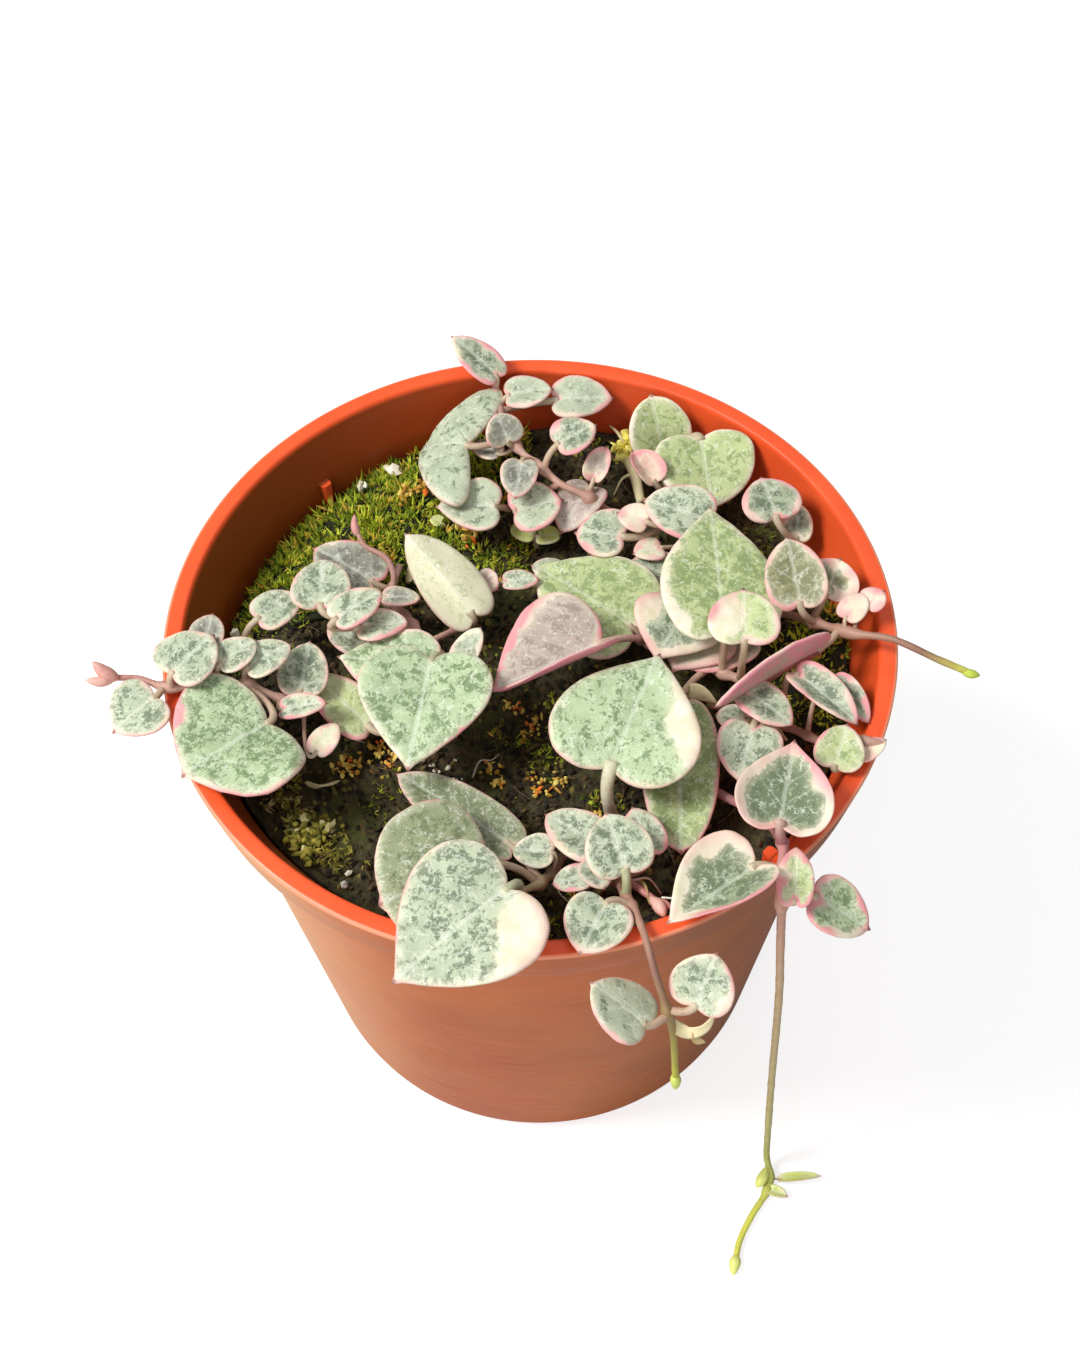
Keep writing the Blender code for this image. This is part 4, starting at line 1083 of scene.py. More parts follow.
# %% Plan: right front
add_cluster(
    "right_front", routes=[
        [(24.5, -9.5, -7.6), (30, -12, -6), (36, -16, -5), (40, -19.5, -4), (41, -20.2, -1.5),
         (42.8, -21.6, 1.3), (45, -22, 1.6)]],
    tints=[DUSK, BROWN, DUSK], leaves=[
        leaf((35.3, -11, 1.3), (42.2, -19, 1.3), 6.5, "grey", folds=(35, 35), rim=0.7, pink=1.0),
        leaf((38.5, -25, 1.2), (40.5, -20, 3), 6.5, "olive", rim=0.4, blush=[(0.4, 1, 2)]),
        leaf((29, -17.5, -1), (26.5, -25, -2), 8.6, "silver", rim=0.6, pink=0.8),
        leaf((28.5, -12.5, 0), (34, -18, 0), 6, "grey", grown=True, rim=0.6, pink=0.8),
        leaf((40, -11.5, 0), (44, -18, 0), 5, "grey", folds=(30, 30), grown=True, rim=0.6, pink=0.9),
        leaf((42, -23.5, 1), (45.5, -21.5, 1.5), 3, "pink", grown=True),
        leaf((28, -15, -3), (24.5, -14, -3), 4.3, "silver", grown=True, pink=0.6)])

# %% Plan: the trailing stem
add_cluster(
    "trailing", routes=[
        [(20.5, -20.5, -7.6), (25, -25.5, -5), (28, -29.5, -2), (30.5, -35.5, 1.5), (30, -40.5, 2.5),
         (29.8, -44, 0.5), (30.7, -44.8, -11), (32, -44.8, -26), (33.9, -44.8, -56), (35.7, -44.8, -82),
         (36.2, -45.4, -89), (36.7, -47.7, -91), (35.8, -50.5, -91.2), (33.1, -54.2, -91.2),
         (30.8, -58.1, -91.2), (29.7, -61.6, -91.2)]],
    tints=[DUSK, (208, 142, 152), (212, 156, 150), (214, 174, 148), (208, 190, 140), (192, 198, 122),
           (196, 208, 108), LIME, LIME], thick=0.88, leaves=[
        leaf((30, -35.5, 4), (33, -24, 4), 12.2, "edged", rim=1.05, pink=0.7, cup=0.12, spots=0.75,
             stalk_tint=(196, 120, 140), under=(214, 140, 156), stalk=0.65),
        leaf((26.6, -40, 2.2), (15.8, -47.2, 2.2), 13, "edged", folds=(44, 8), rim=1.2, pink=0.25, cup=0.08,
             under=(232, 150, 166), patches=[(0.25, -0.9, 2.2), (0.6, -0.8, 1.6)],
             blush=[(0.3, 1, 3), (0.7, 0.8, 3)]),
        leaf((34, -43, 0), (40.5, -46, -3), 7.8, "mint", rim=0.9, pink=1.1, cup=0.04, under=(214, 140, 150)),
        leaf((31, -45, 3), (32, -37.5, 3), 4.6, "olive", grown=True, rim=0.7, pink=1.2,
             patches=[(0.4, 0.8, 1.4)]),
        leaf((38.5, -48.5, -91), (45, -48.3, -90.5), 2.6, "young", folds=(50, 50), grown=True, pink=0.2),
        leaf((36.4, -50.2, -91), (39.2, -51.5, -90.6), 2.4, "young", new=True, folds=(30, 30))])

# %% Plan: left, with an end beyond the rim
add_cluster(
    "left", routes=[
        [(-24.5, -7.5, -7.6), (-29, -9.5, -5), (-32.5, -10, -3), (-37.5, -9, -0.5), (-42.5, -9.5, 1),
         (-48, -10, 1.5), (-52, -8.5, 1.5), (-55.5, -8.5, 2)]],
    tints=[GREENISH, DUSK, DUSK, (200, 140, 128)], leaves=[
        leaf((-47, -9.5, 4), (-42, -4, 4.5), 9, "silver", pink=0.4),
        leaf((-37, 2, 0), (-31.5, 5.5, 0), 6.5, "silver", pink=0.4),
        leaf((-31, -9, -2), (-30, -1.5, -1), 7, "grey", pink=0.4),
        leaf((-34.5, -16, 1), (-44.5, -24, 2), 21.5, "mint", rounded=0.5, near=(-38, -9, -0.5), rim=0.35,
             pink=0.5, spots=0.52, blush=[(0.75, -0.7, 3.4), (0.4, -0.95, 3)], patches=[(0.72, -0.72, 1.8)],
             curl=[(0.2, 0.85, 3.0, 1.4)]),
        leaf((-49.5, -12, 2), (-54.5, -16.5, 1), 9.3, "silver", pink=0.4),
        leaf((-43.5, -4.5, 3), (-42.5, 0, 4), 5, "dark", grown=True),
        leaf((-41, -7.5, 3), (-36.5, -4, 3), 5.5, "silver", grown=True),
        leaf((-37.5, -7.5, 2), (-32, -4, 2), 5.8, "silver", grown=True),
        leaf((-33, -12.5, -0.8), (-27, -12.3, 0), 4, "silver", grown=True, rim=0.5, pink=0.7),
        leaf((-28.5, -18, -3), (-26, -13.5, -3), 4, "cream", grown=True, rim=0.8)])

# %% Plan: centre
add_cluster(
    "centre", routes=[
        [(-18.5, 14.5, -5.2), (-19.5, 9, -5.2), (-17, 4.5, -5), (-14, 0, -4), (-10.5, -5.5, -2.5)],
        [(-19.5, 9, -5.2), (-19, 11, -3), (-20, 13, -1.4), (-23, 14.8, -0.8), (-24, 16.5, 0)],
        [(-14, 0, -4), (-9, 4, -5.2), (-6, 8, -4)]],
    tints=[DUSK, (196, 150, 140), (190, 150, 130)], leaves=[
        leaf((-13, -8, 3), (-16, -23.5, 1), 17.6, "mint", rim=0.25, pink=0.25, spots=0.47,
             blush=[(0.62, 0.7, 2.4)], patches=[(0.66, 0.78, 1.3)], stalk_tint=(186, 180, 140)),
        leaf((-14, -7.2, -1), (-26, -3.5, -2), 12, "mint", hook=0.2, near=(-12.2, -2.8, -3.2), rim=0.5,
             pink=0.6),
        leaf((-7.8, 1.5, 0.2), (-16.8, 12.6, 4.2), 10.5, "cream", folds=(-58, -12), rounded=0.7, rim=0.2,
             pink=0.35, spots=0.4, blush=[(0.05, 0.2, 2.4)], under=(198, 204, 170)),
        leaf((-22, 10.5, -3.8), (-30.5, 16.5, -3), 9, "dark", rim=0.5, pink=0.9),
        leaf((-22, -13, -5), (-30, -5, -4), 7.5, "olive", pink=0.5, blush=[(0.3, 1, 3)]),
        leaf((-28.5, 3, 1.2), (-28.5, 11, 1.2), 8.4, "silver", rounded=0.5, hook=0.3,
             near=(-17.5, 5.5, -5.1), pink=0.4, blush=[(0.05, -0.3, 2)]),
        leaf((-26, 0, 2), (-20, 4, 2.5), 6, "silver", grown=True, pink=0.9, rim=0.5),
        leaf((-23, 0, 0), (-16.5, 0.5, 0), 5.5, "silver", grown=True, pink=0.8, rim=0.6),
        leaf((-20, 6.5, -2), (-15, 6, -2), 3.5, "dark", grown=True),
        leaf((-9.5, -7, 1), (-6.5, -2.5, 2.5), 4, "silver", grown=True, rim=0.7, pink=0.3),
        leaf((-7.5, 9, -2), (-4.3, 6.8, -1.4), 5, "pink", grown=True, rim=1.0, pink=0.6),
        leaf((-3.2, 8.5, -1.8), (1.6, 8.5, -1.8), 3.5, "silver", grown=True, pink=0.9),
        leaf((-23, -1, -3), (-28, 2.5, -3), 5, "grey", grown=True)])

# %% Plan: front, over the rim
add_cluster(
    "front", routes=[
        [(10.5, -27, -7.6), (9.5, -31, -6.5), (9.5, -35.5, -5), (10.5, -39, -3), (12, -44.5, 0.5),
         (13, -49, 2), (13.8, -52.5, 1), (15.4, -55.8, -4), (16.2, -57, -9), (17, -57.5, -21)]],
    tints=[DUSK, (190, 120, 130), BROWN, BROWN, (150, 110, 96), (170, 150, 90), (196, 200, 60)], leaves=[
        leaf((10, -24.5, 2), (17, -9, 4), 19.8, "mint", rim=0.3, pink=0.35, spots=0.43, stalk=0.85,
             stalk_tint=(226, 222, 196),
             patches=[(0.56, -0.95, 5.2), (0.34, -1.05, 3.4), (0.80, -0.62, 3.0)], blush=[(0.72, 0.75, 2.0)]),
        leaf((11, -39, 1), (9, -32, 3), 8.6, "silver", rim=0.3, pink=0.3, stalk=0.6,
             stalk_tint=(186, 196, 150)),
        leaf((8.5, -43.5, 1), (5, -50, 1), 8.4, "silver", pink=0.5),
        leaf((12.4, -57.6, -3), (6.3, -52.8, -1.2), 9.4, "silver", folds=(8, -8), roll=15,
             near=(15.4, -55.8, -4), pink=0.5, spots=0.36, hook=0.3),
        leaf((18.6, -55.5, -2.3), (21.4, -50.5, 1), 8, "silver", pink=0.5, rim=0.5,
             patches=[(0.2, -0.9, 1.4)]),
        leaf((8, -34, -2), (1.5, -28.5, -3), 7, "silver", grown=True, rim=0.6, pink=0.5),
        leaf((14.5, -35, -2), (12.5, -29, -1), 5.6, "silver", grown=True, pink=0.8, rim=0.5),
        leaf((6.5, -37.5, -3), (2, -38, -4), 4, "silver", grown=True, pink=0.8),
        leaf((7, -36, -2), (8.5, -40, -2), 4.5, "silver", grown=True)])

# %% Plan: front left
add_cluster(
    "front_left", routes=[
        [(4, -31, -7.6), (2.5, -34.5, -6.5), (0, -37.5, -5), (-2.5, -39.5, -3)]],
    tints=[DUSK, GREENISH], leaves=[
        leaf((-3.5, -42.5, 3.8), (-17, -53, 1.2), 20, "silver", rim=0.5, pink=0.5, spots=0.46, stalk=0.6,
             stalk_tint=(186, 196, 160), patches=[(0.02, 0.66, 5.0), (0.22, 0.95, 4.2), (0.40, 1.02, 2.4)]),
        leaf((-6.2, -36.8, -0.8), (-19, -42, -0.3), 22, "deep", folds=(14, 8), rounded=1,
             near=(0.5, -37, -5), rim=0.3, pink=0.5, spots=0.45, blush=[(0.3, -0.85, 2.5)]),
        leaf((-3.5, -32, -4), (-18, -20.5, -5), 8, "deep", grown=True, pink=0.8),
        leaf((2, -34, -3), (-3, -33, -4), 5, "silver", grown=True)])
print("leaves:", sum(len(c["leaves"]) for c in PLANT.values()))

# %% [markdown]
# A stem is a path with a round skin, which is what Geometry Nodes do well: the path becomes a
# curve, each point gets its thickness, and a circle is swept along it. Stems swell where leaves join.
# %% Geometry Nodes: stem skin
def tree_with(name, sockets):
    tree = bpy.data.node_groups.new(name, "GeometryNodeTree")
    tree.interface.new_socket("Geometry", in_out="INPUT", socket_type="NodeSocketGeometry")
    for label, kind in sockets:
        tree.interface.new_socket(label, in_out="INPUT", socket_type=kind)
    tree.interface.new_socket("Geometry", in_out="OUTPUT", socket_type="NodeSocketGeometry")
    nodes = Nodes(tree)
    return tree, nodes, nodes.add("NodeGroupInput", out=None).outputs, nodes.add("NodeGroupOutput", out=None)


def named_value(nodes, name):
    return nodes.add("GeometryNodeInputNamedAttribute", {"Name": name}, data_type="FLOAT")


def build_stem_tree():
    tree, nodes, given, out = tree_with("stem_skin_tree", [
        ("Step", "NodeSocketFloat"), ("Unevenness", "NodeSocketFloat"), ("Sides", "NodeSocketInt"),
        ("Finish", "NodeSocketMaterial")])
    curve = nodes.add("GeometryNodeMeshToCurve", {0: given["Geometry"]})
    curve = nodes.add("GeometryNodeResampleCurve", {"Curve": curve, "Length": given["Step"]}, mode="LENGTH")
    thick = named_value(nodes, "thick")
    where = nodes.add("GeometryNodeInputPosition")
    lumps = nodes.add("ShaderNodeTexNoise", {"Vector": where, "Scale": 420.0, "Detail": 2.0})
    lumps = nodes.times(nodes.minus(lumps, 0.5), given["Unevenness"])
    radius = nodes.times(thick, nodes.plus(lumps, 1.0))
    ring = nodes.add("GeometryNodeCurvePrimitiveCircle", {"Resolution": given["Sides"], "Radius": 1.0})
    skin = nodes.add("GeometryNodeCurveToMesh", {"Curve": curve, "Profile Curve": ring, "Scale": radius,
                                                 "Fill Caps": True})
    skin = nodes.add("GeometryNodeSetShadeSmooth", {"Geometry": skin})
    skin = nodes.add("GeometryNodeRealizeInstances", {"Geometry": skin})
    skin = nodes.add("GeometryNodeSetMaterial", {"Geometry": skin, "Material": given["Finish"]})
    tree.links.new(skin, out.inputs[0])
    return tree


def set_inputs(step, values):
    for item in step.node_group.interface.items_tree:
        if item.in_out == "INPUT" and item.name in values:
            step[item.identifier] = values[item.name]


def grow(made, tree, values):
    """Runs a Geometry Nodes tree on an object and keeps its result as a plain mesh."""
    step = made.modifiers.new(tree.name, "NODES")
    step.node_group = tree
    set_inputs(step, values)
    make_plain(made)
    return made


STEM_TREE = build_stem_tree()
STEM_RADIUS = 0.7
BRANCH_SHARE = 0.85
JOINT_SWELL = 0.55
JOINT_REACH = 0.9


def build_stem(name, cluster, joints):
    points, edges, thick, tint = [], [], [], []
    stops = np.array([paint(*c) for c in cluster["tints"]])
    for number, route in enumerate(cluster["routes"]):
        run = curve_through(route, 8)
        t = np.linspace(0, 1, len(run))
        base = STEM_RADIUS * cluster["thick"] * (1.0 if number == 0 else BRANCH_SHARE)
        radius = base * (1 - 0.22 * t)
        for joint in joints:
            away = np.linalg.norm(run - joint, axis=1)
            radius += base * JOINT_SWELL * np.exp(-(away / JOINT_REACH) ** 2)
        radius[-1] *= 0.7
        at = t * (len(stops) - 1)
        low = np.clip(at.astype(int), 0, len(stops) - 2)
        share = (at - low)[:, None]
        tint.append(stops[low] * (1 - share) + stops[low + 1] * share)
        edges += [(len(points) + i, len(points) + i + 1) for i in range(len(run) - 1)]
        points += list(run)
        thick.append(radius * MM)
    mesh = bpy.data.meshes.new(name)
    mesh.from_pydata(in_metres(points).tolist(), edges, [])
    store(mesh, "thick", "FLOAT", np.concatenate(thick))
    store(mesh, "tint", "FLOAT_COLOR", np.vstack(tint))
    made = bpy.data.objects.new(name, mesh)
    bpy.context.collection.objects.link(made)
    return grow(made, STEM_TREE, {"Step": 0.45 * MM, "Unevenness": 0.35, "Sides": 12, "Finish": STEM_SKIN})


print("tree:", STEM_TREE.name)

# %% [markdown]
# A leaf's arrays become one piece with two finishes: the blade's skin and the stalk's. Small leaves
# of a stem share a piece, as in the packed model, because each alone would be a very small piece.
# %% Leaves as pieces
def add_leaves(name, made_leaves):
    points, faces, kinds, fields = [], [], [], {}
    for one_points, one_faces, one_kinds, one_fields in made_leaves:
        faces += [tuple(i + len(points) for i in f) for f in one_faces]
        points += list(one_points)
        kinds += one_kinds
        for key, values in one_fields.items():
            fields.setdefault(key, []).append(values)
    piece = add_piece(name, in_metres(points), faces, LEAF_SKIN)
    piece.data.materials.append(STALK_SKIN)
    piece.data.polygons.foreach_set("material_index", kinds)
    for key, values in fields.items():
        values = np.concatenate(values)
        kind = "FLOAT" if values.ndim == 1 else "FLOAT_COLOR" if values.shape[1] == 4 else "FLOAT_VECTOR"
        store(piece.data, key, kind, values)
    face_out(piece.data, merge=False)
    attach(piece, "root")
    return piece


print("leaves go into pieces with", LEAF_SKIN.name, "and", STALK_SKIN.name)

# %% [markdown]
# Each leaf's joint is the nearest place on its stem, and its stalk runs there. The stem is built
# after its leaves, because it swells where they join.
# %% Every stem and leaf
def plant_all():
    number = 0
    for cluster_name, cluster in PLANT.items():
        line = np.vstack([curve_through(route, 8) for route in cluster["routes"]])
        joints, small, own = [], [], 0
        for entry in cluster["leaves"]:
            number += 1
            entry = dict(entry)
            near, grown = entry.pop("near"), entry.pop("grown")
            target = np.array(entry["base"] if near is None else near, float)
            joint = line[np.argmin(np.linalg.norm(line - target, axis=1))]
            joints.append(joint)
            made = make_leaf(number, joint=joint, **entry)
            if grown:
                small.append(made)
                continue
            own += 1
            blade = add_leaves(f"blade_{cluster_name}_{own}", [made])
            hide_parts(f"leaf_{cluster_name}_{own}")
        if small:
            add_leaves(f"small_leaves_{cluster_name}", small)
        vine = build_stem(f"vine_{cluster_name}", cluster, joints)
        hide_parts(f"stem_{cluster_name}")
        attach(vine, "root")
        print(cluster_name, "leaves:", own, "+", len(small), "stem faces:", len(vine.data.polygons))


plant_all()

# %% [markdown]
# ## What grows and lies on the soil
# Moss, crumbs of peat and bark, grains of perlite: thousands of small things of a few kinds. That is
# a scatter. One tree spreads points over a surface, puts one of the kinds at each, turns and sizes
# it by chance with a fixed seed, and gives it a tone of its own for the finish to read.
# %% Geometry Nodes: scatter
def build_scatter_tree():
    tree, nodes, given, out = tree_with("scatter_tree", [
        ("Per square mm", "NodeSocketFloat"), ("Apart", "NodeSocketFloat"), ("Smallest", "NodeSocketFloat"),
        ("Largest", "NodeSocketFloat"), ("Tilt", "NodeSocketFloat"), ("Kinds", "NodeSocketCollection"),
        ("Seed", "NodeSocketInt"), ("Keep Surface", "NodeSocketBool"), ("Finish", "NodeSocketMaterial")])
    mask = named_value(nodes, "grow")
    density = nodes.times(given["Per square mm"], 1e6)
    points = nodes.add("GeometryNodeDistributePointsOnFaces", {
        "Mesh": given["Geometry"], "Distance Min": given["Apart"], "Density Max": density,
        "Density Factor": mask,
        "Seed": given["Seed"]}, out=None, distribute_method="POISSON")
    kinds = nodes.add("GeometryNodeCollectionInfo", {"Collection": given["Kinds"], "Separate Children": True,
                                                     "Reset Children": True})
    tilt = given["Tilt"]
    back = nodes.times(tilt, -1.0)
    low = nodes.add("ShaderNodeCombineXYZ", {0: back, 1: back, 2: 0.0})
    high = nodes.add("ShaderNodeCombineXYZ", {0: tilt, 1: tilt, 2: math.tau})
    turn = nodes.add("FunctionNodeRandomValue", {0: low, 1: high, 8: given["Seed"]}, out=0,
                     data_type="FLOAT_VECTOR")
    turn = nodes.add("FunctionNodeEulerToRotation", {0: turn})
    size = nodes.add("FunctionNodeRandomValue", {2: given["Smallest"], 3: given["Largest"],
                                                 8: given["Seed"]}, out=1,
                     data_type="FLOAT")
    placed = nodes.add("GeometryNodeInstanceOnPoints", {"Points": points.outputs["Points"], "Instance": kinds,
                                                        "Pick Instance": True, "Rotation": turn,
                                                        "Scale": size})
    tone = nodes.add("FunctionNodeRandomValue", {2: 0.0, 3: 1.0, 8: 7}, out=1, data_type="FLOAT")
    for name, value in (("tone", tone), ("grain", 1.0)):
        placed = nodes.add("GeometryNodeStoreNamedAttribute",
                           {"Geometry": placed, "Name": name, "Value": value},
                           data_type="FLOAT", domain="INSTANCE")
    solid = nodes.add("GeometryNodeRealizeInstances", {"Geometry": placed})
    kept = nodes.add("GeometryNodeSwitch", {"Switch": given["Keep Surface"], "True": given["Geometry"]},
                     input_type="GEOMETRY")
    both = nodes.add("GeometryNodeJoinGeometry", {0: solid}, out=None)
    tree.links.new(kept, both.inputs[0])
    done = nodes.add("GeometryNodeSetMaterial", {"Geometry": both.outputs[0], "Material": given["Finish"],
                                                 "Selection": named_value(nodes, "grain")})
    tree.links.new(done, out.inputs[0])
    return tree


SCATTER_TREE = build_scatter_tree()
print("tree:", SCATTER_TREE.name)

# %% [markdown]
# The kinds are small closed shapes: a moss shoot is a spray of pointed leaflets, a crumb is a dented
# pebble, a bark chip is a long splinter, and a fibre is a bent thread. Each has only a few dozen faces.
# %% Kinds to scatter
def keep_kind(group_name, name, points, faces):
    group = bpy.data.collections.get(group_name) or bpy.data.collections.new(group_name)
    mesh = bpy.data.meshes.new(name)
    mesh.from_pydata(np.asarray(points, float).tolist(), [], [list(map(int, f)) for f in faces])
    face_out(mesh)
    made = bpy.data.objects.new(name, mesh)
    group.objects.link(made)
    return made


def shoot_shape(rng, leaflets, reach):
    """Pointed leaflets round a short stalk, each a thin closed spear of six faces. 1 unit is 1 mm."""
    points, faces = [], []
    for k in range(leaflets):
        a = rng.uniform(0, math.tau)
        lean = rng.uniform(0.15, 0.85)
        foot = np.array((0.12 * math.cos(a), 0.12 * math.sin(a), -0.35))
        ahead = np.array((math.cos(a) * lean, math.sin(a) * lean, rng.uniform(0.7, 1.0)))
        end = foot + ahead * reach * rng.uniform(0.8, 1.15)
        belly = foot + ahead * reach * 0.45
        side = np.array((-math.sin(a), math.cos(a), 0)) * 0.12
        up = np.cross(ahead, side) * 0.7
        first = len(points)
        points += [foot, belly + side, belly + up, belly - side, end]
        for i in range(3):
            j = (i + 1) % 3
            faces += [(first, first + 1 + i, first + 1 + j), (first + 4, first + 1 + j, first + 1 + i)]
    return points, faces


def lump_shape(rng, stretch, dents=0.28):
    """A dented grain from an icosahedron. 1 unit is 1 mm across."""
    work = bmesh.new()
    bmesh.ops.create_icosphere(work, subdivisions=1, radius=0.5)
    for vertex in work.verts:
        vertex.co = Vector(np.array(vertex.co) * stretch * (1 + rng.uniform(-dents, dents)))
    points = [tuple(v.co) for v in work.verts]
    faces = [[v.index for v in f.verts] for f in work.faces]
    work.free()
    return points, faces


def fibre_shape(rng):
    t = np.linspace(-1, 1, 6)[:, None]
    path = np.hstack([t * 2.2, 0.5 * np.sin(t * rng.uniform(1, 2.6) + 1), 0.16 * np.cos(t * 2.0) - 0.05])
    return sweep(path, np.full(6, 0.075) * (1.15 - t[:, 0] ** 2 * 0.8), (0, 0, 1), sides=4)


def make_kinds():
    rng = np.random.default_rng(41)
    for k in range(5):
        keep_kind("shoots", f"shoot_{k}", *shoot_shape(rng, 6, rng.uniform(0.9, 1.35)))
    for k in range(4):
        keep_kind("crumbs", f"crumb_{k}", *lump_shape(rng, (1, rng.uniform(0.6, 0.95),
                                                            rng.uniform(0.45, 0.8))))
    keep_kind("crumbs", "chip", *lump_shape(rng, (2.1, 0.7, 0.4)))
    for k in range(3):
        keep_kind("fibres", f"fibre_{k}", *fibre_shape(rng))


make_kinds()
print("kinds:", [g.name for g in bpy.data.collections])

# %% [markdown]
# One finish serves each sort of crumb. It reads the grain's own tone, so that a thousand grains of
# one piece still differ, and a share of them can be flecks of a third colour.
# %% Finishes that read the tone
def make_toned(name, dark, pale, rough, fleck=None, scale=900.0):
    """A rough natural surface between two colours, chosen by each grain's own tone."""
    made, nodes, shader = new_material(name)
    where = nodes.add("ShaderNodeTexCoord", out="Object")
    tone = nodes.attribute("tone")
    fine = nodes.noise(where, scale, 3, 0.65)
    share = nodes.plus(nodes.times(tone, 0.75), nodes.times(fine, 0.45), clamp=True)
    share = nodes.step(share, 0.2, 1.0)
    colour = nodes.mix(share, dark, pale)
    if fleck:
        colour = nodes.mix(nodes.step(tone, 0.86, 0.93), colour, fleck)
    connect(nodes, shader, Base_Color=colour, Roughness=rough, Normal=bump(nodes, fine, 0.0002, 0.5))
    return made


MOSS_FINISH = make_toned("moss_green", paint(90, 118, 12), paint(226, 234, 66), 0.75, paint(240, 196, 80))
MOUND_FINISH = make_toned("old_moss_olive", paint(104, 104, 26), paint(190, 176, 70), 0.8,
                          paint(232, 222, 160))
PEAT_FINISH = make_toned("peat_crumb", paint(26, 20, 12), paint(92, 72, 44), 0.92, paint(124, 112, 52))
FIBRE_FINISH = make_toned("root_fibre", paint(52, 38, 24), paint(140, 112, 78), 0.85)
ORANGE_FINISH = make_toned("golden_crumb", paint(190, 138, 40), paint(248, 224, 118), 0.8,
                           paint(240, 122, 34))
PERLITE_FINISH = make_toned("perlite", paint(214, 206, 180), paint(245, 240, 222), 0.7)
MOSS_BED = make_toned("moss_bed", paint(30, 33, 12), paint(104, 116, 34), 0.95, scale=520.0)
print("toned finishes ready")

# %% [markdown]
# The moss makes two pads against the pot's wall. Each pad is a low dome on the soil; the scatter
# covers it with upright shoots and keeps the dome under them.
# %% Moss pads
def pad_surface(name, angles, radii, across=44, along=120, rise=2.0):
    """A low domed pad that follows the wall between two angles in degrees, closed underneath."""
    top, low = [], []
    for i in range(along + 1):
        u = i / along
        a = math.radians(angles[0] + (angles[1] - angles[0]) * u)
        wander = 1.5 * math.sin(3 * a + 1) * math.sin(math.pi * u) + 1.2 * noise.noise(Vector((u * 9, 0.3,
                                                                                               0.7)))
        inner = radii[1] + (radii[0] + wander - radii[1]) * math.sin(math.pi * u) ** 0.5
        for j in range(across + 1):
            v = j / across
            r = inner + (radii[1] + 2.2 - inner) * v
            x, y = r * math.cos(a), r * math.sin(a)
            dome = max(math.sin(math.pi * u) * math.sin(math.pi * min(v, 0.72)), 0) ** 0.45
            slow, quick = noise.noise(Vector((x * 0.35, y * 0.35, 1.0))), noise.noise(Vector((x, y, 2.0)))
            lumpy = 0.75 + 0.5 * slow + 0.35 * quick
            h = soil_height(x, y) + 0.25 + rise * dome * lumpy
            top.append((x, y, h))
            low.append((x, y, soil_height(x, y) - 1.2))
    wide = across + 1
    faces = []
    for i in range(along):
        for j in range(across):
            a = i * wide + j
            quad = (a, a + 1, a + wide + 1, a + wide)
            faces += [quad, tuple(len(top) + k for k in reversed(quad))]
    rim = list(range(wide)) + [i * wide + across for i in range(1, along + 1)]
    rim += [along * wide + j for j in range(across - 1, -1, -1)] + [i * wide for i in range(along - 1, 0, -1)]
    faces += [(a, b, len(top) + b, len(top) + a) for a, b in zip(rim, rim[1:] + rim[:1])]
    pad = add_piece(name, in_metres(top + low), faces, MOSS_BED)
    face_out(pad.data)
    return pad


def mark_growth(surface, rule):
    """The share of full density at each vertex, from its place in layout mm."""
    spots = np.array([v.co for v in surface.data.vertices]) / MM - (0, 0, RIM_HEIGHT)
    store(surface.data, "grow", "FLOAT", [rule(x, y, h) for x, y, h in spots])


def scatter(surface, kinds, finish, per_mm, apart, sizes, tilt, seed, keep=False):
    return grow(surface, SCATTER_TREE, {
        "Per square mm": per_mm, "Apart": apart * MM, "Smallest": sizes[0] * MM, "Largest": sizes[1] * MM,
        "Tilt": tilt, "Kinds": bpy.data.collections[kinds], "Seed": seed, "Keep Surface": keep,
        "Finish": finish})


def build_moss():
    for name, node, angles, radii, rise, density in (
            ("moss_pad_back_left", "moss_back_left", (90, 170), (19, 42), 1.7, 3.6),
            ("moss_pad_right", "moss_right", (-22, 10), (33, 42), 1.4, 1.2)):
        pad = pad_surface(name, angles, radii, rise=rise)
        mark_growth(pad, lambda x, y, h: float(h > soil_height(x, y) + 0.2)
                    * min(1, max(0.06, 0.62 + 1.5 * noise.noise(Vector((x * 0.42, y * 0.42, 4.0))))))
        scatter(pad, "shoots", MOSS_FINISH, density, 0.36, (0.9, 2.0), 0.6, 5, keep=True)
        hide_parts(node)
        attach(pad, "root")
        print(name, "faces:", len(pad.data.polygons))


build_moss()

# %% [markdown]
# The open soil gets its crumbs, fibres and grains the same way, from patches that lie on it. A patch
# says where its kind is thick: around a centre, thinning outwards.
# %% Crumbs and grains
def soil_patch(name, spots, reach, lift=0.15, step=1.0):
    """Small loose squares of the soil's own surface round some spots: only a base to scatter on."""
    points, faces = [], []
    cells = set()
    for x0, y0 in spots:
        for i in range(int((x0 - reach) // step), int((x0 + reach) // step) + 1):
            for j in range(int((y0 - reach) // step), int((y0 + reach) // step) + 1):
                x, y = (i + 0.5) * step, (j + 0.5) * step
                if math.hypot(x - x0, y - y0) < reach and math.hypot(x, y) < 43.2:
                    cells.add((i, j))
    for i, j in sorted(cells):
        corner = len(points)
        for di, dj in ((0, 0), (1, 0), (1, 1), (0, 1)):
            x, y = (i + di) * step, (j + dj) * step
            points.append((x, y, soil_height(x, y) + soil_relief(x, y) + lift))
        faces.append((corner, corner + 1, corner + 2, corner + 3))
    return add_piece(name, in_metres(points), faces, None)


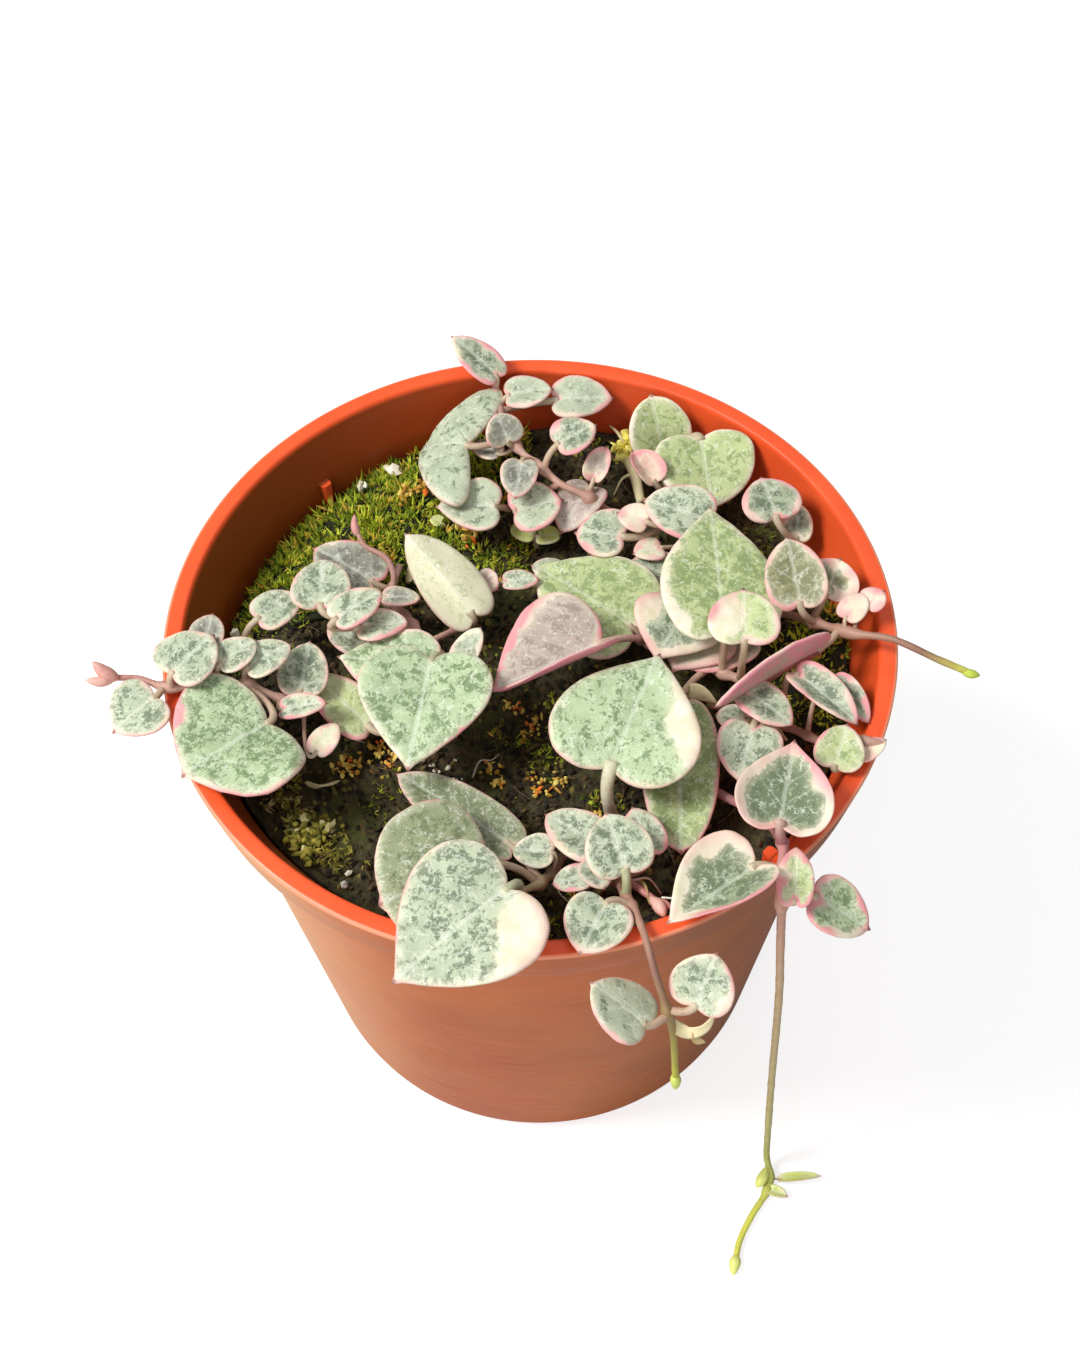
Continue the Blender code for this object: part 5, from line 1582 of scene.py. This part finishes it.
def strew(name, spots, reach, kinds, finish, per_mm, sizes, seed, lift=0.15, tilt=1.5, falloff=True):
    patch = soil_patch(name, spots, reach, lift)
    centres = np.array(spots)

    def around_centres(x, y, h):
        nearest = np.hypot(*(centres - (x, y)).T).min()
        return float(np.exp(-(nearest / (0.55 * reach)) ** 2))

    def in_drifts(x, y, h):
        return 0.35 + 0.65 * float(noise.noise(Vector((x * 0.3, y * 0.3, 9.0))) > 0)

    mark_growth(patch, around_centres if falloff else in_drifts)
    scatter(patch, kinds, finish, per_mm, 0.2, sizes, tilt, seed)
    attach(patch, "root")
    print(name, "faces:", len(patch.data.polygons))
    return patch


strew("peat_crumbs", [(0, 0)], 43.4, "crumbs", PEAT_FINISH, 1.5, (0.5, 1.5), 11, lift=0.0,
      falloff=False)
strew("root_fibres", [(0, 0)], 42.5, "fibres", FIBRE_FINISH, 0.10, (0.5, 1.1), 12, lift=0.25,
      tilt=0.3, falloff=False)
SPOTS = [
    # name, slot, centres, reach in mm, kinds, finish, grains per square mm, sizes in mm, seed, lift in mm
    ("moss_crumbs", "moss", [(-17.6, 29.4), (-15.3, 30.4), (-30.5, 17.5), (-8.5, 21.0)], 2.6, "crumbs",
     ORANGE_FINISH, 2.2, (0.5, 1.4), 21, 2.7),
    ("moss_lumps", "moss", [(-27.3, 29.5), (-19.9, 36.4), (-43.0, 7.0), (-24.5, 33.5)], 1.5, "crumbs",
     PERLITE_FINISH, 0.6, (1.2, 2.6), 32, 2.2),
    ("golden_crumbs", "soil", [(-5.9, -18.1), (-4.5, -19.7), (0.2, -19.1), (0.8, -21.4), (2.9, -20.0),
     (-2.3, -8.2), (1.1, -10.3), (-18.7, -16.1), (8.6, -25.2), (-0.3, -12.3)], 1.8, "crumbs", ORANGE_FINISH,
     6.5, (0.35, 1.0), 22, 0.5),
    ("cream_clump", "soil", [(-13.0, -17.1), (-10.8, -19.5), (-8.6, -22.7)], 2.6, "crumbs", PERLITE_FINISH,
     1.5, (0.4, 1.2), 23, 0.6),
    ("perlite_grains", "soil", [(-20.4, 38.3), (-27.4, 30.7), (41.5, -4.9), (-29.8, -30.2), (-23.5, -32.3),
     (-24.7, -34.2)], 1.6, "crumbs", PERLITE_FINISH, 0.4, (0.8, 2.2), 24, 0.6),
    ("green_specks", "moss", [(-1.0, -13.5), (0.9, -16.0), (8.8, -22.5), (10.0, -25.6), (2.9, -38.6),
     (2.2, -41.3), (3.0, -8.0), (-13.8, -22.9), (-5.0, -12.5)], 2.8, "shoots", MOSS_FINISH, 2.2, (0.5, 1.1),
     25, 0.3),
    ("old_moss_mound", "moss", [(-31.0, -25.0), (-26.2, -30.5), (-28.9, -28.3), (-33.5, -21.5)], 4.2,
     "shoots", MOUND_FINISH, 2.6, (0.7, 1.2), 26, 0.6),
    ("lichen_lumps", "soil", [(-21.0, -14.7), (-25.2, -16.9)], 2.6, "crumbs", ORANGE_FINISH, 7.0,
     (0.4, 1.2), 27, 0.8),
    ("mound_lumps", "moss", [(-31.3, -28.3), (-28.6, -26.0), (-31.2, -31.0)], 3.4, "crumbs", MOUND_FINISH,
     4.0, (0.6, 1.7), 33, 0.9),
    ("moss_edge", "moss", [(-5.5, 18.5), (-2.5, 16.5), (-8.5, 15.5), (-1.0, 20.5), (-10, 12)], 4.0,
     "shoots", MOSS_FINISH, 3.2, (0.7, 1.5), 34, 0.2),
    ("thin_moss", "moss", [(-40, 10), (-38, 4), (-42, -2), (-34, 15), (36, 18), (12, 38), (-10, 22),
     (24, -34), (-16, 14), (8, 6), (-6, 0), (-10, -26), (5, -16), (-20, -22)], 6.0, "shoots", MOSS_FINISH,
     0.7, (0.5, 1.05), 28, 0.2)]
for name, slot, spots, reach, kinds, finish, per_mm, sizes, seed, lift in SPOTS:
    strew(name, spots, reach, kinds, finish, per_mm, sizes, seed, lift)

# %% [markdown]
# ## The last small things
# Growing tips, buds, two seedlings, a dry stub with its tuft, curled dead leaves and bare roots.
# They are small, but they say that this plant is alive. Each is a path with a changing thickness, or
# a leaf from the same function, so no new tool is needed.
# %% Buds and growing tips
BUD_SKIN = make_toned("bud_skin", paint(186, 110, 108), paint(232, 182, 166), 0.5, scale=1500.0)
TIP_SKIN = make_toned("growing_tip", paint(184, 204, 66), paint(228, 234, 132), 0.5, scale=1500.0)
DRY_SKIN = make_toned("dry_husk", paint(168, 138, 84), paint(236, 224, 178), 0.8, scale=1200.0)
ROOT_SKIN = make_toned("bare_root", paint(196, 184, 156), paint(240, 236, 220), 0.7, scale=1500.0)


def spindle(route, widest, at=0.5, sides=10, steps=5):
    """A closed bud round a route: thin at both ends, widest at one place along it."""
    path = curve_through(route, steps)
    t = np.linspace(0, 1, len(path))
    bulge = np.sin(math.pi * t ** (math.log(0.5) / math.log(at))) ** 0.8
    return sweep(path, widest * (0.16 + 0.84 * bulge), (0.2, 0.1, 1), sides)


def thread(route, radius, sides=6, steps=6, ends=0.4):
    path = curve_through(route, steps)
    t = np.linspace(0, 1, len(path))
    return sweep(path, radius * (1 - (1 - ends) * t), (0.2, 0.1, 1), sides)


def add_shapes(name, finish, shapes, seed=1):
    rng = np.random.default_rng(seed)
    points, faces, tone = [], [], []
    for shape_points, shape_faces in shapes:
        faces += [tuple(i + len(points) for i in f) for f in shape_faces]
        points += list(shape_points)
        tone += [rng.uniform(0.1, 0.95)] * len(shape_points)
    piece = add_piece(name, in_metres(points), faces, finish)
    store(piece.data, "tone", "FLOAT", tone)
    face_out(piece.data, merge=False)
    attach(piece, "root")
    print(name, "shapes:", len(shapes))
    return piece


add_shapes("pink_buds", BUD_SKIN, [
    spindle([(-54.5, -8.8, 2), (-56.2, -8.4, 3.0), (-57.6, -7.6, 4.4)], 1.0, 0.45),
    spindle([(-55, -8.6, 2), (-56.8, -9.4, 2.4), (-58.6, -9.6, 3.2)], 0.75, 0.45),
    thread([(11.2, -38.4, -2.6), (12.8, -40.0, -2.0), (14.6, -41.8, -1.6)], 0.55, ends=0.8),
    spindle([(13.8, -41.2, -1.8), (14.9, -42.6, -1.3), (15.6, -44.4, -0.9)], 0.85, 0.6),
    spindle([(14.2, -41.6, -1.8), (15.6, -42.2, -1.6), (16.9, -43.4, -1.4)], 0.5, 0.5),
    spindle([(-24, 16.2, -0.3), (-24.4, 17.4, 0.4), (-24.4, 18.8, 1.4)], 0.62, 0.4),
    spindle([(23.5, 17.8, -4.4), (22.9, 18.4, -2.6), (22.1, 18.7, -1.2)], 0.8, 0.5)])
add_shapes("green_tips", TIP_SKIN, [
    spindle([(16.9, -57.4, -19.5), (17.05, -57.6, -21.5), (17.1, -57.5, -24.3)], 0.72, 0.4),
    spindle([(30.2, -60.4, -91.2), (29.7, -61.6, -91.1), (29.2, -63.6, -91.0)], 0.95, 0.5),
    spindle([(56.2, -12.2, 3.2), (57.6, -12.6, 2.9), (58.8, -12.8, 2.7)], 0.62, 0.5),
    spindle([(36.4, -46.4, -90.4), (35.2, -48.6, -90.2), (34.2, -49.8, -90.6)], 0.9, 0.5)])
add_shapes("bare_roots", ROOT_SKIN, [
    thread([(-8.2, -19.4, -8.4), (-7.2, -17.6, -7.2), (-5.6, -17.2, -7.6), (-4.6, -15.8, -8.4)], 0.13),
    thread([(15.4, -41.8, -1.0), (17.4, -42.2, -0.8), (19.2, -43.4, -0.6)], 0.14),
    thread([(2.5, -33.5, -7.0), (3.6, -35.6, -6.0), (2.8, -37.6, -6.6), (4.6, -39.4, -7.4)], 0.12),
    thread([(12.0, -38.2, -3.2), (14.2, -37.4, -4.4), (15.8, -38.6, -6.4)], 0.2),
    thread([(-27, -11, -6.0), (-25.2, -12.8, -7.6), (-22.8, -13.2, -8.6)], 0.13)])

# %% [markdown]
# Two seedlings have come up in the moss. They are the plant's first leaves, round and yellow-green
# and without a margin, so the leaf function draws them too.
# %% Seedlings
SEED_LEAF = dict(look="young", rounded=1, rim=0.0, pink=0.0)
add_leaves("seedlings", [
    make_leaf(201, (0.9, 20.6, -6.6), (-2.4, 21.8, -6.2), 3.8, (1.3, 20.3, -9), **SEED_LEAF),
    make_leaf(202, (1.7, 20.4, -6.6), (4.9, 19.6, -6.0), 3.6, (1.3, 20.3, -9), **SEED_LEAF),
    make_leaf(203, (-12.4, 23.6, -7.0), (-14.2, 24.4, -6.6), 2.2, (-12, 23.2, -9), **SEED_LEAF)])
print("seedling leaves: 3")

# %% [markdown]
# Dead leaves curl and lose their fat. They are short ribbons: a flattened tube that twists as it
# goes. The dry stub is an old stem that was cut, with a yellow tuft of mould or lichen on its end.
# %% Dry bits
RIBBON_SIDES = 8


def ribbon(route, width, thickness=0.16, twist=0.0, steps=6):
    """A closed flat strip that tapers and may twist: a withered leaf."""
    path = curve_through(route, steps)
    t = np.linspace(0, 1, len(path))
    ahead = np.gradient(path, axis=0)
    ahead /= np.linalg.norm(ahead, axis=1)[:, None]
    side = np.array((0.3, 0.8, 0.5))
    points, faces = [], []
    for spot, forward, share in zip(path, ahead, t):
        side = side - forward * (side @ forward)
        side /= np.linalg.norm(side)
        across = np.cross(forward, side)
        turn = twist * share
        wide = side * math.cos(turn) + across * math.sin(turn)
        thin = across * math.cos(turn) - side * math.sin(turn)
        half = 0.5 * width * (0.12 + math.sin(math.pi * share ** 0.8) ** 0.7)
        for a in np.arange(RIBBON_SIDES) * math.tau / RIBBON_SIDES:
            dish = thickness * math.sin(a) + 0.25 * half * math.cos(a) ** 2
            points.append(spot + wide * half * math.cos(a) + thin * dish)
    for k in range(len(path) - 1):
        faces += strip(k * RIBBON_SIDES, (k + 1) * RIBBON_SIDES, RIBBON_SIDES)
    faces += [tuple(range(RIBBON_SIDES - 1, -1, -1)), tuple(range(len(points) - RIBBON_SIDES, len(points)))]
    return np.array(points), faces


add_shapes("dry_leaves", DRY_SKIN, [
    ribbon([(15.2, -55.6, -5.0), (16.6, -56.4, -6.6), (18.2, -57.0, -6.8), (19.8, -57.0, -5.4),
            (20.8, -56.4, -3.4)], 1.7, twist=1.6),
    ribbon([(18.4, -57.0, -6.6), (19.0, -57.6, -7.8), (20.0, -57.8, -8.2)], 1.1, twist=1.0),
    ribbon([(30.5, -14.5, -4.4), (32, -16.2, -2.8), (33.6, -18.2, -3.2)], 2.6, twist=1.2),
    ribbon([(20.8, -8.8, -5.2), (22.8, -9.8, -3.8), (25.0, -11.2, -4.4)], 2.2, twist=0.9),
    ribbon([(-17.6, 13.0, -7.4), (-15.6, 15.0, -5.4), (-13.2, 15.6, -5.8)], 1.8, twist=1.4),
    ribbon([(-19.6, 7.2, -6.0), (-21.4, 8.6, -3.4), (-23.6, 9.0, -3.0)], 1.6, twist=1.0),
    ribbon([(-30.6, -19.6, -8.0), (-28.4, -20.8, -7.0), (-26.0, -19.4, -8.2)], 0.9, twist=2.6),
    ribbon([(-27.6, -10.6, -6.8), (-25.8, -10.4, -5.8), (-24.6, -8.8, -6.2), (-22.6, -8.2, -7.0)], 0.9,
           twist=3.0),
    ribbon([(12.6, -38.8, -2.8), (13.6, -40.2, -1.8), (14.0, -42.4, -1.6)], 1.4, twist=0.8)], seed=9)
add_shapes("dry_stub", DRY_SKIN, [
    thread([(15.2, 37.5, -8.6), (15.8, 34.0, -6.2), (16.4, 30.0, -5.6), (17.0, 26.0, -6.4)], 1.15, sides=9,
           ends=0.6),
    thread([(15.8, 36.5, -6.8), (14.2, 38.6, -5.0), (13.0, 40.4, -5.2)], 0.35),
    thread([(16.4, 31.0, -5.6), (14.4, 29.4, -4.8), (13.0, 27.4, -6.2)], 0.28),
    thread([(17.0, 27.0, -6.2), (18.4, 24.6, -5.6), (18.0, 22.4, -7.0)], 0.3)], seed=4)
TUFT_FINISH = make_toned("yellow_tuft", paint(216, 200, 52), paint(250, 242, 136), 0.75)
strew("yellow_tuft", [(16.0, 37.8), (15.0, 35.6)], 2.2, "crumbs", TUFT_FINISH, 7.0, (0.8, 1.9), 31,
      lift=3.8)

# %% [markdown]
# ## Stage
# A pale floor and soft light, mostly from the left: one large lamp like a window, a weak one above
# and a fill from the front. A sky picture could light it too, but lamps say plainly where light is.
# %% Stage and light
FLOOR_HALF = 3.0
FLOOR_LEVEL = -0.0002
ROOM_LIGHT = 0.36


def build_floor():
    """The floor looks white, but throws back little light, as a studio's lit table does."""
    made, nodes, shader = new_material("pale_floor")
    seen = nodes.add("ShaderNodeLightPath", out="Is Camera Ray")
    connect(nodes, shader, Base_Color=(0.5, 0.5, 0.5, 1), Roughness=0.8, Emission_Color=(1, 1, 1, 1),
            Emission_Strength=nodes.times(seen, 0.70))
    corners = [(x * FLOOR_HALF, y * FLOOR_HALF, FLOOR_LEVEL) for x, y in ((-1, -1), (1, -1), (1, 1), (-1, 1))]
    floor = add_piece("floor", corners, [(0, 1, 2, 3)], made, smooth=False)
    return floor


def add_softbox(name, place, aim, size, power):
    lamp = bpy.data.lights.new(name, "AREA")
    lamp.shape = "DISK"
    lamp.size = size
    lamp.energy = power
    made = bpy.data.objects.new(name, lamp)
    bpy.context.collection.objects.link(made)
    made.location = place
    made.rotation_euler = (Vector(aim) - Vector(place)).to_track_quat("-Z", "Y").to_euler()
    return made


def light_room(strength):
    world = bpy.data.worlds.new("studio")
    world.use_nodes = True
    world.node_tree.nodes["Background"].inputs[0].default_value = (1, 1, 1, 1)
    nodes = Nodes(world.node_tree)
    seen = nodes.add("ShaderNodeLightPath", out="Is Camera Ray")
    lit = nodes.plus(nodes.times(seen, 1.0 - strength), strength)
    world.node_tree.links.new(lit, world.node_tree.nodes["Background"].inputs[1])
    bpy.context.scene.world = world
    bpy.context.scene.view_settings.view_transform = "Standard"


build_floor()
light_room(ROOM_LIGHT)
add_softbox("window", (-0.50, -0.06, 0.72), (0, 0, 0.08), 0.30, 6.2)
add_softbox("overhead", (0.1, 0.35, 0.9), (0, 0, 0.08), 0.6, 0.8)
add_softbox("front_fill", (-0.25, -0.75, 0.30), (0, 0, 0.05), 0.5, 2.4)

print("lamps:", len(bpy.data.lights))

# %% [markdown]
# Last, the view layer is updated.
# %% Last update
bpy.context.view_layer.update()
